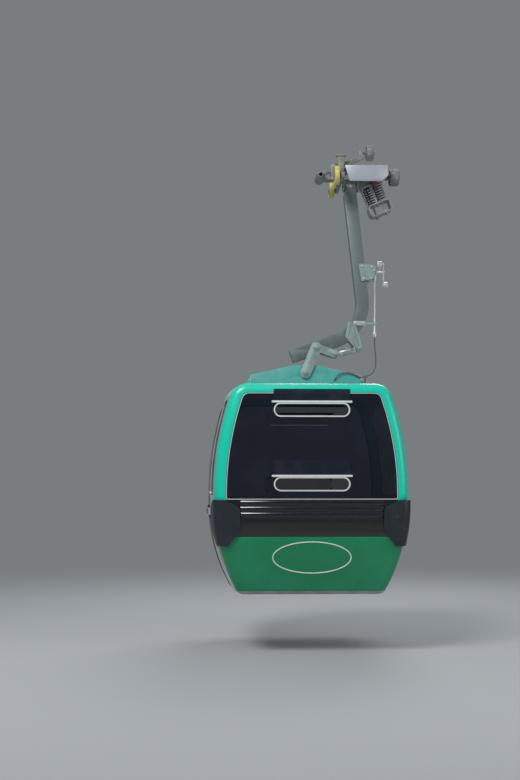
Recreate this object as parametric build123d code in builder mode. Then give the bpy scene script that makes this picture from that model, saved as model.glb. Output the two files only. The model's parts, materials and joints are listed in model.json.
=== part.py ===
"""Cable car cabin for six riders, hung from a single moving rope.

Millimetres. The origin is on the rope's axis in the middle of the grip's jaws.
+Z is up, Y runs along the rope and +X points from the rope to the hanger arm.
The end of the cabin at -Y is called front.
"""
import os
from math import asin, atan2, cos, degrees, hypot, radians, sin, tan

from build123d import *

os.makedirs("parts", exist_ok=True)

# Rope and jaws
ROPE_R = 20
JAW_WALL = 26
JAW_HALF = 90           # solid middle of the jaws, along the rope
TONGUE = 70             # tapered tip beyond it
JAW_SPLIT = 4           # gap between the two jaws

# Grip
BODY_TOP = 45
BODY_BOTTOM = -28
BODY_END_X = 640
BODY_HALF_Y = 60
PLATE_TOP = 88          # friction plate, a channel over the body
PLATE_THICK = 12
PLATE_LEFT = 245
PLATE_RIGHT = 680
PLATE_HALF_Y = 200
PLATE_FOLD_R = 10
SKIRT_THICK = 10
SKIRT_BOTTOM = -75
SKIRT_SLANT = 45        # how far its lower left corner is set back
SKIRT_CUT = 55          # its lower right corner
SPACER = (60, 120)      # pads between body and plate
SPACER_PITCH = 260
LEVER_PIVOT = (150, 105)
LEVER_KNEE = (300, 158)
LEVER_TIP = (446, 224)
LEVER_HALF_Y = 22
LEVER_DEPTH = 44
LEVER_PIN_R = 14
COUPLING_ROLLER = (520, 262)
COUPLING_ROLLER_R = 80
COUPLING_ROLLER_WIDTH = 74
RUNNING_ROLLER = (770, 11)
RUNNING_ROLLER_R = 86
RUNNING_ROLLER_WIDTH = 96
GUIDE_ROLLER = (150, -47)
GUIDE_ROLLER_R = 92
GUIDE_ROLLER_WIDTH = 48
GUIDE_ROLLER_Y = 290
CARRIER_X = 208         # bar that carries the guide rollers
CARRIER_WIDTH = 36
CARRIER_DEPTH = 50
AXLE_R = 14
AXLE_GAP = 0.05         # running fit, on the radius
POST_X = 212
POST_Y = -82
POST_PARTS = [          # length, width, bottom, top
    (60, 44, 45, 130),
    (74, 36, 130, 206),
    (104, 56, 206, 220),
]

# Fits
CLEAR = 6               # between pieces that swing past each other

# Springs under the grip
SPRING_TOP = (505, -30)
SPRING_FOOT = (622, -318)
SPRING_ACROSS = 46      # each spring's distance from the middle, across the yoke
SPRING_Y = 38
SPRING_R = 36           # to the middle of the wire
SPRING_WIRE_R = 6.5
SPRING_TURNS = 7
GUIDE_ROD_R = 10        # rod inside each spring
SIDE_ROD_R = 8
SIDE_ROD_ACROSS = 53    # from its spring's middle
SEAT_MARGIN = 12
SEAT_THICK = 12
YOKE_CAP_HALF = 55
YOKE_CAP_HALF_Y = 70
YOKE_CAP_THICK = 16
YOKE_HALF_WIDTH = 118
YOKE_HALF_HEIGHT = 62
YOKE_HALF_Y = 86
YOKE_WALL = 9
YOKE_CORNER_R = 34
NUT_R = 15
NUT_THICK = 14

# Hanger
HEAD_X = 320
HEAD_Z = -100
HEAD_R = 48
HEAD_WIDTH = 116
HEAD_PIN_R = 20
LUG_THICK = 16
LUG_R = 44
ARM_TOP = (312, -170)
ARM_KNEE = (474, -1570)
ARM_FOOT = (-296, -1848)
ARM_BEND_R = 400
ARM_WIDTH = 130         # seen from the end of the cabin
ARM_DEPTH = 110         # along the rope
ARM_WALL = 8

# Links and damper between the hanger and the cabin
CABIN_X = -150          # the cabin's middle plane, left of the rope
SWAY_PIN_Z = -2015      # pin between the links and the roof beam
SWAY_PIN_R = 20
LINK_TOP = (-40, -1756)
LINK_ELBOW = (155, -1821)
LINK_R = 56
LINK_THICK = 14
LINK_GAP = 4            # between the links and the arm's foot
DAMPER_TOP = (407, -1763)
DAMPER_R = 36
DAMPER_ROD_R = 14
DAMPER_TUBE = (0.24, 0.82)      # ends of its outer tube, as shares of its run
DAMPER_PLATE = 9
DAMPER_FRAME = 24       # width of the bars round the bracket's hole
DAMPER_OUTLINE = [      # bracket on both sides of the arm's bend
    (296, -1490),
    (360, -1496),
    (440, -1756),
    (407, -1796),
    (376, -1780),
    (258, -1640),
]

# Door linkage on the hanger
DOOR_PLATE_OUTLINE = [
    (400, -905),
    (550, -905),
    (585, -940),
    (585, -990),
    (530, -1020),
    (530, -1087),
    (410, -1087),
]
DOOR_PLATE_THICK = 10
DOOR_Y = -35            # middle of the plate, shaft and rod
DOOR_SHAFT_Z = -976
DOOR_SHAFT_X = (500, 668)
DOOR_BOSS = (56, 50, 40)
DOOR_BOSS_X = 528
DOOR_LEVER_X = 648
DOOR_LEVER_THICK = 12
DOOR_LEVER_WIDTH = 44
UPPER_ROLLER = (592, 640, -902, 38)     # from, to, height, radius
LOWER_ROLLER = (660, 700, -1110, 34)
ROLLER_PIN_R = 12
DOOR_ROD_X = 566
DOOR_ROD_Z = (-1020, -1650)
DOOR_ROD_R = 11
SLEEVE_LENGTH = 50      # sleeves near both ends of the rod
SLEEVE_INSET = (20, 30)
GUIDE_Z = -1505
GUIDE_SIZE = (190, 36, 26)
GUIDE_X = 490
CABLE_R = 6
CABLE_HANGING = [       # from the rod down to the clip on the cabin
    (566, -35, -1650),
    (566, -35, -1730),
    (577, -37, -1850),
    (578, -44, -1950),
    (540, -56, -2025),
    (470, -62, -2052),
]
CABLE_ON_BEAM = [       # from the clip over the beam's face and into it
    (470, -62, -2052),
    (415, -64, -2066),
    (360, -66, -2034),
    (290, -66, -2010),
    (215, -66, -2022),
    (165, -66, -2062),
    (146, -50, -2104),
]
CLIP_SIZE = (30, 30, 24)

# Cabin body, heights counted down from the roof edge
ROOF_Z = -2195          # top edge of the end frames
HALF_WIDTH = 990        # at the doors, where the plan is widest
HALF_LENGTH = 950
BODY_HEIGHT = 2030
BELT_TOP = 1120
BELT_HEIGHT = 350
BELT_UPRIGHT = 100      # stretch of the sides that stands upright at the belt
WALL = 36
PLAN_SAG = 75           # how far the sides bow out in plan
UPPER_R = 3000          # side profile above the belt
LOWER_R = 1680          # side profile below the belt
TOP_CORNER_R = 170
BOTTOM_CORNER_R = 90
END_UPPER_SAG = 50      # how far the ends lean in at the roof
END_LOWER_SAG = 110     # and at the floor
POST_CORNER_R = 80
END_DEPTH = 180         # how far the end frames reach along the cabin
SEAM = 2                # gap between neighbouring panels

# Windows and vents
FRAME_WIDTH = 90        # green frame round the end window
GLASS = 8
GLASS_SET_IN = 9
SEAL_WIDTH = 16
SEAL_THICK = 24
WINDOW_CORNER_R = 30
VENT_LENGTH = 706
VENT_HEIGHT = 112
VENT_RING = 13
VENT_LIP = 10           # how far the vent rings stand proud of the glass
VENT_RAIL = 770
VENT_RAIL_HEIGHT = 20
FLAP_THICK = 4
VENTS = [               # middle of the slot below the roof edge, height of its flap
    (258, 112),
    (968, 142),
]

# Belt
RIB_COUNT = 3
RIB_PITCH = 57
RIB_OUT = 11
RIB_R = 38
BUMPER_OUT = 25
BUMPER_REACH = 230      # from the cabin's corner inwards
BUMPER_HEIGHT = 440
BUMPER_CORNER_R = 62

# Sides
DOOR_HALF = 400
DOOR_FRAME = 34
HEADER_DEPTH = 112
SILL_DEPTH = 1108
RAIL_TOP = 1200
RAIL_HEIGHT = 70
RAIL_OUT = 24
SIDE_CORNER_R = 45

# Roof beam
BEAM_HALF = 560
BEAM_PEAK_HALF = 122
BEAM_PEAK_Z = -1938
BEAM_END_Z = -2035
BEAM_DEPTH = 100
BEAM_WALL = 8
FOOT_HALF_Y = 80
FOOT_OUT = 110
LUG_RISE = 130
BRACKET_THICK = 10

# Benches
SEAT_HEIGHT = 420
SEAT_DEPTH = 430
BENCH_HALF = 680
BENCH_THICK = 32

REACH = 3000            # longer than anything it cuts


def sag_radius(sag, span):
    """Radius of the arc that comes in by sag over this span from its tangent."""
    return (span**2 + sag**2) / (2 * sag)


upper_top = BELT_TOP - BELT_UPRIGHT / 2
lower_top = BELT_TOP + BELT_UPRIGHT / 2
end_upper_r = sag_radius(END_UPPER_SAG, upper_top)
end_lower_r = sag_radius(END_LOWER_SAG, BODY_HEIGHT - lower_top)
plan_radius = sag_radius(PLAN_SAG, HALF_LENGTH)
front_half = HALF_WIDTH - PLAN_SAG
panel_y = HALF_LENGTH - END_DEPTH
panel_bottom = BODY_HEIGHT - WALL
belt_bottom = BELT_TOP + BELT_HEIGHT

side_on = Plane(origin=(CABIN_X, 0, ROOF_Z), x_dir=(1, 0, 0), z_dir=(0, -1, 0))
end_on = Plane(origin=(CABIN_X, 0, ROOF_Z), x_dir=(0, 1, 0), z_dir=(1, 0, 0))
cabin_middle = Plane(origin=(CABIN_X, 0, 0), x_dir=(0, 1, 0), z_dir=(1, 0, 0))
plan_axis = Axis((CABIN_X + HALF_WIDTH - plan_radius, 0, 0), (0, 0, 1))
plan_angle = 1.3 * degrees(asin(HALF_LENGTH / plan_radius))


def finish(name, part):
    """Label a finished piece and write it."""
    part.label = name
    export_step(part, f"parts/{name}.step")


def upright_arc(radius, x_tangent, z_tangent, z_end):
    """Arc that stands upright at (x_tangent, z_tangent) and curves in towards the middle at z_end."""
    centre_x = x_tangent - radius
    swing = asin((z_end - z_tangent) / radius)
    return ThreePointArc(
        (x_tangent, z_tangent),
        (centre_x + radius * cos(swing / 2), z_tangent + radius * sin(swing / 2)),
        (centre_x + radius * cos(swing), z_end),
    )


def body_profile(half, upper_r, lower_r, top_r, bottom_r, inset):
    """Outline of the body seen along Y or along X, set in all round by inset."""
    with BuildSketch() as profile:
        with BuildLine():
            upper = upright_arc(upper_r, half, -upper_top, 0)
            Line((half, -upper_top), (half, -lower_top))
            lower = upright_arc(lower_r, half, -lower_top, -BODY_HEIGHT)
            Line(upper @ 1, (0, 0))
            Line((0, 0), (0, -BODY_HEIGHT))
            Line((0, -BODY_HEIGHT), lower @ 1)
        make_face()
        if top_r:
            fillet(profile.vertices().filter_by(lambda v: v.X > 1).sort_by(Axis.Y)[-1], top_r)
        if bottom_r:
            fillet(profile.vertices().filter_by(lambda v: v.X > 1).sort_by(Axis.Y)[0], bottom_r)
        mirror(about=Plane.YZ)
        if inset:
            offset(amount=-inset, kind=Kind.INTERSECTION)
    return profile.sketch


def envelope(inset, corner_r=0):
    """The whole cabin as one solid, set in by inset on every face, its upright corners rounded."""
    across = body_profile(HALF_WIDTH, UPPER_R, LOWER_R, TOP_CORNER_R, BOTTOM_CORNER_R, inset)
    along = body_profile(HALF_LENGTH, end_upper_r, end_lower_r, 0, 0, inset)
    with BuildPart() as body:
        with BuildSketch(side_on):
            add(across)
            with Locations((HALF_WIDTH, -BODY_HEIGHT / 2)):
                Rectangle(2 * HALF_WIDTH, 2 * BODY_HEIGHT, mode=Mode.INTERSECT)
        revolve(axis=plan_axis, revolution_arc=plan_angle)
        mirror(about=Plane.XZ)
        mirror(about=cabin_middle)
        with BuildSketch(end_on):
            add(along)
        extrude(amount=2 * HALF_WIDTH, both=True, mode=Mode.INTERSECT)
        if corner_r:
            fillet(body.edges().filter_by(lambda e: e.bounding_box().size.Z > BELT_UPRIGHT / 2), corner_r)
    return body.part


def zone(ys, depths, xs=(-REACH, REACH), mode=Mode.INTERSECT):
    """Box in cabin terms: along the cabin, down from the roof edge, and across from the middle."""
    with Locations((CABIN_X + sum(xs) / 2, sum(ys) / 2, ROOF_Z - sum(depths) / 2)):
        Box(xs[1] - xs[0], ys[1] - ys[0], depths[1] - depths[0], mode=mode)


def layer(inset, thickness):
    """Skin of the body between two depths under its outer face."""
    outside = envelope(inset)
    inside = envelope(inset + thickness)
    with BuildPart() as skin:
        add(outside)
        add(inside, mode=Mode.SUBTRACT)
    return skin.part


def mirrored(part, about=Plane.XZ):
    """The same piece on the other side."""
    with BuildPart() as other:
        add(part)
        mirror(about=about, mode=Mode.REPLACE)
    return other.part


outer_body = envelope(0, POST_CORNER_R)
inner_body = envelope(WALL, POST_CORNER_R - WALL)
with BuildPart() as walls:
    add(outer_body)
    add(inner_body, mode=Mode.SUBTRACT)
glass_skin = layer(GLASS_SET_IN, GLASS)
seal_skin = layer(SEAL_THICK / 8, SEAL_THICK)
ring_skin = layer(GLASS_SET_IN - VENT_LIP, GLASS + 2 * VENT_LIP)
guide_skin = layer(GLASS_SET_IN - VENT_LIP - FLAP_THICK, GLASS + VENT_LIP + FLAP_THICK)
flap_skin = layer(GLASS_SET_IN - VENT_LIP - FLAP_THICK, FLAP_THICK)
rail_skin = layer(-RAIL_OUT, RAIL_OUT)
bumper_body = envelope(-BUMPER_OUT, POST_CORNER_R)

# Floor and roof
with BuildPart() as floor_pan:
    add(outer_body)
    zone((-REACH, REACH), (panel_bottom, REACH))
finish("floor_pan", floor_pan.part)

roof_ribs = 4
rib_spacing = 380
rib_width = 40
rib_rise = 10
with BuildPart() as roof_shell:
    add(walls.part)
    zone((-panel_y + SEAM / 2, panel_y - SEAM / 2), (-REACH, HEADER_DEPTH))
    with Locations((CABIN_X, 0, ROOF_Z)):
        with GridLocations(0, rib_spacing, 1, roof_ribs):
            Box(2 * BEAM_HALF, rib_width, 2 * rib_rise)
finish("roof_shell", roof_shell.part)

# End frames, windows and vents
with BuildSketch(side_on) as window_outline:
    add(body_profile(front_half, UPPER_R, LOWER_R, TOP_CORNER_R, 0, FRAME_WIDTH))
    with Locations((0, -BELT_TOP / 2)):
        Rectangle(2 * HALF_WIDTH, BELT_TOP, mode=Mode.INTERSECT)
    fillet(window_outline.vertices().group_by(Axis.Y)[0], WINDOW_CORNER_R)
with BuildSketch(side_on) as pane_outline:
    add(window_outline.sketch_local)
    offset(amount=-SEAL_WIDTH / 2)
with BuildSketch(side_on) as seal_inner:
    add(window_outline.sketch_local)
    offset(amount=-SEAL_WIDTH)


def slots(extra):
    """The two vent slots of an end window, each grown by extra all round."""
    with BuildSketch(side_on) as outline:
        with Locations(*[(0, -depth) for depth, flap in VENTS]):
            SlotOverall(VENT_LENGTH + 2 * extra, VENT_HEIGHT + 2 * extra)
    return outline.sketch


rail_rise = VENT_HEIGHT / 2 + VENT_RING + VENT_RAIL_HEIGHT / 2 - SEAM / 2
slot_opening = slots(0)
slot_in_glass = slots(VENT_RING / 2)
with BuildPart() as frame_front:
    add(walls.part)
    zone((-REACH, -panel_y), (-REACH, BELT_TOP - SEAM / 2))
    extrude(window_outline.sketch, amount=REACH, mode=Mode.SUBTRACT)
with BuildPart() as window_front:
    add(glass_skin)
    extrude(pane_outline.sketch, amount=REACH, mode=Mode.INTERSECT)
    extrude(slot_in_glass, amount=REACH, mode=Mode.SUBTRACT)
with BuildPart() as window_seal_front:
    add(seal_skin)
    extrude(window_outline.sketch, amount=REACH, mode=Mode.INTERSECT)
    extrude(seal_inner.sketch, amount=REACH, mode=Mode.SUBTRACT)
    add(window_front.part, mode=Mode.SUBTRACT)
with BuildPart() as vent_trims_front:
    add(ring_skin)
    with BuildSketch(side_on):
        for depth, flap in VENTS:
            with Locations((0, -depth)):
                SlotOverall(VENT_LENGTH + 2 * VENT_RING, VENT_HEIGHT + 2 * VENT_RING)
    extrude(amount=REACH, mode=Mode.INTERSECT)
with BuildPart() as vent_rails:
    add(guide_skin)
    with BuildSketch(side_on):
        for depth, flap in VENTS:
            with Locations((0, rail_rise - depth)):
                RectangleRounded(VENT_RAIL, VENT_RAIL_HEIGHT, VENT_RAIL_HEIGHT / 4)
    extrude(amount=REACH, mode=Mode.INTERSECT)
with vent_trims_front:
    add(vent_rails.part)
    extrude(slot_opening, amount=REACH, mode=Mode.SUBTRACT)
    add(window_front.part, mode=Mode.SUBTRACT)


def flaps(side):
    """The two sliding flaps, open above their rails (1) or shut below them (-1)."""
    with BuildPart() as sliding:
        add(flap_skin)
        with BuildSketch(side_on):
            for depth, flap in VENTS:
                with Locations((0, rail_rise + side * (VENT_RAIL_HEIGHT + flap) / 2 - depth)):
                    Rectangle(VENT_LENGTH + 2 * VENT_RING, flap)
        extrude(amount=REACH, mode=Mode.INTERSECT)
    return sliding.part


vent_flaps_front = flaps(1)

# Belt, bumpers and lower end panel
belt_face = RIB_OUT - RIB_R
with BuildPart() as belt_front:
    add(walls.part)
    zone((-REACH, -panel_y), (BELT_TOP + SEAM / 2, belt_bottom - SEAM / 2))
    for row in range(RIB_COUNT):
        with BuildSketch(end_on):
            with Locations((-HALF_LENGTH - belt_face, -BELT_TOP - (row + 0.5) * RIB_PITCH)):
                Circle(RIB_R)
            with Locations((-HALF_LENGTH, -BELT_TOP - (row + 0.5) * RIB_PITCH)):
                Rectangle(4 * RIB_OUT, RIB_PITCH - SEAM, mode=Mode.INTERSECT)
        extrude(amount=front_half - BUMPER_REACH - SEAM, both=True)
with BuildPart() as lower_panel_front:
    add(walls.part)
    zone((-REACH, -panel_y), (belt_bottom + SEAM / 2, panel_bottom))


def shield(corner, plane):
    """Outline of a corner bumper on one face; corner is that face's half width."""
    inner = corner - BUMPER_REACH
    top = -BELT_TOP
    points = [
        (corner + BUMPER_REACH / 2, top),
        (corner - BUMPER_REACH / 3, top),
        (inner, top - BUMPER_HEIGHT / 6),
        (inner, top - BUMPER_HEIGHT * 0.64),
        (corner - BUMPER_REACH / 2, top - BUMPER_HEIGHT),
        (corner + BUMPER_REACH / 2, top - BUMPER_HEIGHT),
    ]
    with BuildSketch(plane) as outline:
        with BuildLine():
            Polyline(*points, close=True)
        make_face()
        fillet(outline.vertices().group_by(Axis.X)[0], BUMPER_CORNER_R)
    return outline.sketch


shield_end = shield(front_half, side_on)
shield_side = shield(HALF_LENGTH, end_on)
with BuildPart() as bumper:
    add(bumper_body)
    extrude(shield_end, amount=-REACH, mode=Mode.INTERSECT)
    extrude(shield_side, amount=REACH, mode=Mode.INTERSECT)
    add(outer_body, mode=Mode.SUBTRACT)

for name, piece in [
    ("frame", frame_front),
    ("window", window_front),
    ("window_seal", window_seal_front),
    ("vent_trims", vent_trims_front),
    ("belt", belt_front),
    ("lower_panel", lower_panel_front),
]:
    finish(f"{name}_front", piece.part)
    finish(f"{name}_rear", mirrored(piece.part))
finish("vent_flaps_front", vent_flaps_front)
finish("vent_flaps_rear", mirrored(flaps(-1)))
rear_right = bumper.part
rear_left = mirrored(rear_right, cabin_middle)
finish("bumper_rear_right", rear_right)
finish("bumper_rear_left", rear_left)
finish("bumper_front_right", mirrored(rear_right))
finish("bumper_front_left", mirrored(rear_left))

# Sides: fixed panels, doors and belt rails
left = (-REACH, 0)
right = (0, REACH)
doors_y = (SEAM / 2, DOOR_HALF - SEAM)
fixed_y = (DOOR_HALF + SEAM / 2, panel_y - SEAM / 2)
right_y = (-panel_y + SEAM / 2, panel_y - SEAM / 2)
side_depths = (HEADER_DEPTH + SEAM, panel_bottom - SEAM / 2)


def window_hole(ys, margin):
    """Outline of a side window between these ends, drawn on the cabin's middle plane."""
    width = ys[1] - ys[0] - 2 * margin
    height = SILL_DEPTH - side_depths[0] - 2 * margin
    with BuildSketch(end_on) as outline:
        with Locations((sum(ys) / 2, -(SILL_DEPTH + side_depths[0]) / 2)):
            RectangleRounded(width, height, SIDE_CORNER_R)
    return outline.sketch


def side_panel(ys, xs, towards):
    """Full-height side panel with its window cut, and its pane."""
    hole = window_hole(ys, DOOR_FRAME)
    groove = window_hole(ys, DOOR_FRAME / 2)
    with BuildPart() as pane:
        add(glass_skin)
        extrude(groove, amount=towards, mode=Mode.INTERSECT)
    with BuildPart() as panel:
        add(walls.part)
        zone(ys, side_depths, xs)
        extrude(hole, amount=towards, mode=Mode.SUBTRACT)
        add(pane.part, mode=Mode.SUBTRACT)
    return panel.part, pane.part


def rail(ys, xs):
    """Stretch of the aluminium rail that runs along the belt."""
    with BuildPart() as stretch:
        add(rail_skin)
        zone(ys, (RAIL_TOP, RAIL_TOP + RAIL_HEIGHT), xs)
    return stretch.part


rail_end = HALF_LENGTH - BUMPER_REACH - SEAM
wall_rear, glass_rear = side_panel(fixed_y, left, -REACH)
leaf, leaf_glass = side_panel(doors_y, left, -REACH)
with BuildPart() as door_leaf_rear:
    add(leaf)
    add(rail(doors_y, left))
wall_right, glass_right = side_panel(right_y, right, REACH)
finish("side_wall_left_rear", wall_rear)
finish("side_wall_left_front", mirrored(wall_rear))
finish("door_leaf_rear", door_leaf_rear.part)
finish("door_leaf_front", mirrored(door_leaf_rear.part))
finish("side_wall_right", wall_right)
finish("side_glass_right", glass_right)
finish("door_glass", Compound([leaf_glass, mirrored(leaf_glass)]))
finish("side_glass_left", Compound([glass_rear, mirrored(glass_rear)]))
rail_rear = rail((DOOR_HALF + SEAM / 2, rail_end), left)
finish("belt_rail_left", Compound([rail_rear, mirrored(rail_rear)]))
finish("belt_rail_right", rail((-rail_end, rail_end), right))

# Roof beam that carries the cabin
with BuildPart() as roof_beam:
    with BuildSketch(Plane.XZ):
        with BuildLine():
            Polyline(
                (CABIN_X - BEAM_HALF, ROOF_Z),
                (CABIN_X - BEAM_HALF, BEAM_END_Z),
                (CABIN_X - BEAM_PEAK_HALF, BEAM_PEAK_Z),
                (CABIN_X + BEAM_PEAK_HALF, BEAM_PEAK_Z),
                (CABIN_X + BEAM_HALF, BEAM_END_Z),
                (CABIN_X + BEAM_HALF, ROOF_Z),
                close=True,
            )
        make_face()
    extrude(amount=BEAM_DEPTH / 2, both=True)
    bottom = roof_beam.faces().sort_by(Axis.Z)[0]
    offset(amount=-BEAM_WALL, openings=bottom)
    with Locations(Location((CABIN_X, 0, SWAY_PIN_Z), (90, 0, 0))):
        Cylinder(SWAY_PIN_R + AXLE_GAP, 2 * BEAM_DEPTH, mode=Mode.SUBTRACT)
finish("roof_beam", roof_beam.part)

with BuildPart() as bracket:
    with BuildSketch(Plane.XZ):
        with Locations((CABIN_X + BEAM_HALF, ROOF_Z)):
            Rectangle(FOOT_OUT, BRACKET_THICK, align=(Align.MIN, Align.MIN))
    extrude(amount=FOOT_HALF_Y, both=True)
    with BuildSketch(Plane.XZ):
        with Locations((CABIN_X + BEAM_HALF, ROOF_Z)):
            Rectangle(BRACKET_THICK, BEAM_END_Z - ROOF_Z, align=(Align.MIN, Align.MIN))
    extrude(amount=BEAM_DEPTH / 2, both=True)
with BuildPart() as lug:
    with BuildSketch(Plane.XZ):
        with BuildLine():
            Polyline(
                (CABIN_X + BEAM_HALF + BRACKET_THICK, ROOF_Z + BRACKET_THICK),
                (CABIN_X + BEAM_HALF + FOOT_OUT, ROOF_Z + BRACKET_THICK),
                (CABIN_X + BEAM_HALF + BRACKET_THICK, ROOF_Z + LUG_RISE),
                close=True,
            )
        make_face()
    extrude(amount=BRACKET_THICK, both=True)
finish("roof_brackets", Compound([bracket.part, mirrored(bracket.part, cabin_middle)]))
finish("roof_lugs", Compound([lug.part, mirrored(lug.part, cabin_middle)]))

# Benches
seat_z = -panel_bottom + SEAT_HEIGHT
with BuildPart() as bench:
    with BuildSketch(end_on):
        with BuildLine():
            path = Polyline(
                (HALF_LENGTH - 2 * WALL, 30 - BELT_TOP),
                (HALF_LENGTH - 3 * WALL, seat_z),
                (HALF_LENGTH - 3 * WALL - SEAT_DEPTH, seat_z),
                (HALF_LENGTH - 3 * WALL - SEAT_DEPTH, -panel_bottom),
            )
            offset(amount=BENCH_THICK, side=Side.RIGHT)
        make_face()
    extrude(amount=BENCH_HALF, both=True)
finish("bench_rear", bench.part)
finish("bench_front", mirrored(bench.part))


# Hanger: head, bent arm and foot


def capsule(start, end, radius):
    """Round-ended bar between two points of the XZ plane, drawn in the current sketch."""
    run = hypot(end[0] - start[0], end[1] - start[1])
    turn = degrees(atan2(end[1] - start[1], end[0] - start[0]))
    with Locations(((start[0] + end[0]) / 2, (start[1] + end[1]) / 2)):
        SlotCenterToCenter(run, 2 * radius, rotation=turn)


def along_x(x_from, x_to, y, z, radius, mode=Mode.ADD):
    """Cylinder on an axis parallel to X."""
    with Locations(Location(((x_from + x_to) / 2, y, z), (0, 90, 0))):
        Cylinder(radius, x_to - x_from, mode=mode)


def along_y(x, z, half, radius, mode=Mode.ADD, y=0):
    """Cylinder on an axis parallel to Y."""
    with Locations(Location((x, y, z), (90, 0, 0))):
        Cylinder(radius, 2 * half, mode=mode)


head_half = HEAD_WIDTH / 2
with BuildPart() as hanger_arm:
    with BuildLine(Plane.XZ) as arm_line:
        FilletPolyline(ARM_TOP, ARM_KNEE, ARM_FOOT, radius=ARM_BEND_R)
    with BuildSketch(Plane(origin=arm_line.line @ 0, x_dir=(0, 1, 0), z_dir=arm_line.line % 0)):
        Rectangle(ARM_DEPTH, ARM_WIDTH)
        Rectangle(ARM_DEPTH - 2 * ARM_WALL, ARM_WIDTH - 2 * ARM_WALL, mode=Mode.SUBTRACT)
    sweep(path=arm_line.line)
    with BuildSketch(Plane(origin=arm_line.line @ 0, x_dir=(0, 1, 0), z_dir=arm_line.line % 0)):
        Rectangle(ARM_DEPTH, ARM_WIDTH)
    extrude(amount=ARM_WALL)
    with BuildSketch(Plane(origin=arm_line.line @ 1, x_dir=(0, 1, 0), z_dir=arm_line.line % 1)):
        Rectangle(ARM_DEPTH, ARM_WIDTH)
    extrude(amount=-ARM_WALL)
    along_x(HEAD_X - head_half, HEAD_X + head_half, 0, HEAD_Z, HEAD_R)
    with Locations((HEAD_X, 0, (HEAD_Z + ARM_TOP[1]) / 2)):
        Box(HEAD_WIDTH, 2 * HEAD_R, HEAD_Z - ARM_TOP[1] + ARM_WALL)
    along_x(HEAD_X - head_half, HEAD_X + head_half, 0, HEAD_Z, HEAD_PIN_R + AXLE_GAP, Mode.SUBTRACT)
    along_y(*LINK_TOP, ARM_DEPTH, SWAY_PIN_R + AXLE_GAP, Mode.SUBTRACT)
finish("hanger_arm", hanger_arm.part)

link_inner = ARM_DEPTH / 2 + LINK_GAP
sway_pin = (CABIN_X, SWAY_PIN_Z)
with BuildPart() as sway_links:
    with BuildSketch(Plane.XZ.offset(link_inner)):
        capsule(LINK_TOP, sway_pin, LINK_R)
        capsule(LINK_TOP, LINK_ELBOW, LINK_R * 0.7)
    extrude(amount=LINK_THICK)
    mirror(about=Plane.XZ)
    for pin in (LINK_TOP, sway_pin):
        along_y(*pin, link_inner + LINK_THICK + 12, SWAY_PIN_R)
    along_y(*LINK_ELBOW, link_inner + LINK_THICK + 8, DAMPER_ROD_R)
finish("sway_links", sway_links.part)

damper_run = hypot(DAMPER_TOP[0] - LINK_ELBOW[0], DAMPER_TOP[1] - LINK_ELBOW[1])
damper_turn = degrees(atan2(DAMPER_TOP[1] - LINK_ELBOW[1], DAMPER_TOP[0] - LINK_ELBOW[0]))
damper_plane = Plane(Location((LINK_ELBOW[0], 0, LINK_ELBOW[1]), (0, 90 - damper_turn, 0)))
with BuildPart() as damper:
    with BuildSketch(damper_plane):
        Circle(DAMPER_ROD_R)
    extrude(amount=damper_run)
    with BuildSketch(damper_plane.offset(DAMPER_TUBE[0] * damper_run)):
        Circle(DAMPER_R)
    extrude(amount=(DAMPER_TUBE[1] - DAMPER_TUBE[0]) * damper_run)
    for eye, hole in ((LINK_ELBOW, DAMPER_ROD_R), (DAMPER_TOP, DAMPER_ROD_R)):
        along_y(*eye, ARM_DEPTH / 2 - LINK_GAP, 1.7 * hole)
        along_y(*eye, ARM_DEPTH, hole + AXLE_GAP, Mode.SUBTRACT)
finish("damper", damper.part)

with BuildPart() as damper_bracket:
    with BuildSketch(Plane.XZ.offset(ARM_DEPTH / 2)):
        with BuildLine():
            Polyline(*DAMPER_OUTLINE, close=True)
        make_face()
        offset(amount=-DAMPER_FRAME, kind=Kind.INTERSECTION, mode=Mode.SUBTRACT)
    extrude(amount=DAMPER_PLATE)
    mirror(about=Plane.XZ)
    along_y(*DAMPER_TOP, ARM_DEPTH / 2 + 2 * DAMPER_PLATE, DAMPER_ROD_R)
finish("damper_bracket", damper_bracket.part)

# Door linkage carried by the arm
with BuildPart() as filled_arm:
    with BuildSketch(Plane(origin=arm_line.line @ 0, x_dir=(0, 1, 0), z_dir=arm_line.line % 0)):
        Rectangle(ARM_DEPTH, ARM_WIDTH)
    sweep(path=arm_line.line)
with BuildPart() as door_bracket:
    with BuildSketch(Plane.XZ.offset(-DOOR_Y - DOOR_PLATE_THICK / 2)):
        with BuildLine():
            Polyline(*DOOR_PLATE_OUTLINE, close=True)
        make_face()
    extrude(amount=DOOR_PLATE_THICK)
    with Locations((DOOR_BOSS_X, DOOR_Y, DOOR_SHAFT_Z)):
        Box(*DOOR_BOSS)
    add(filled_arm.part, mode=Mode.SUBTRACT)
    along_x(*DOOR_SHAFT_X, DOOR_Y, DOOR_SHAFT_Z, AXLE_R + AXLE_GAP, Mode.SUBTRACT)
finish("door_bracket", door_bracket.part)
with BuildPart() as rod_guide:
    with Locations((GUIDE_X, DOOR_Y, GUIDE_Z)):
        Box(*GUIDE_SIZE)
    add(filled_arm.part, mode=Mode.SUBTRACT)
    with Locations((DOOR_ROD_X, DOOR_Y, GUIDE_Z)):
        Cylinder(DOOR_ROD_R + 1, 2 * GUIDE_SIZE[2], mode=Mode.SUBTRACT)
finish("rod_guide", rod_guide.part)

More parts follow.
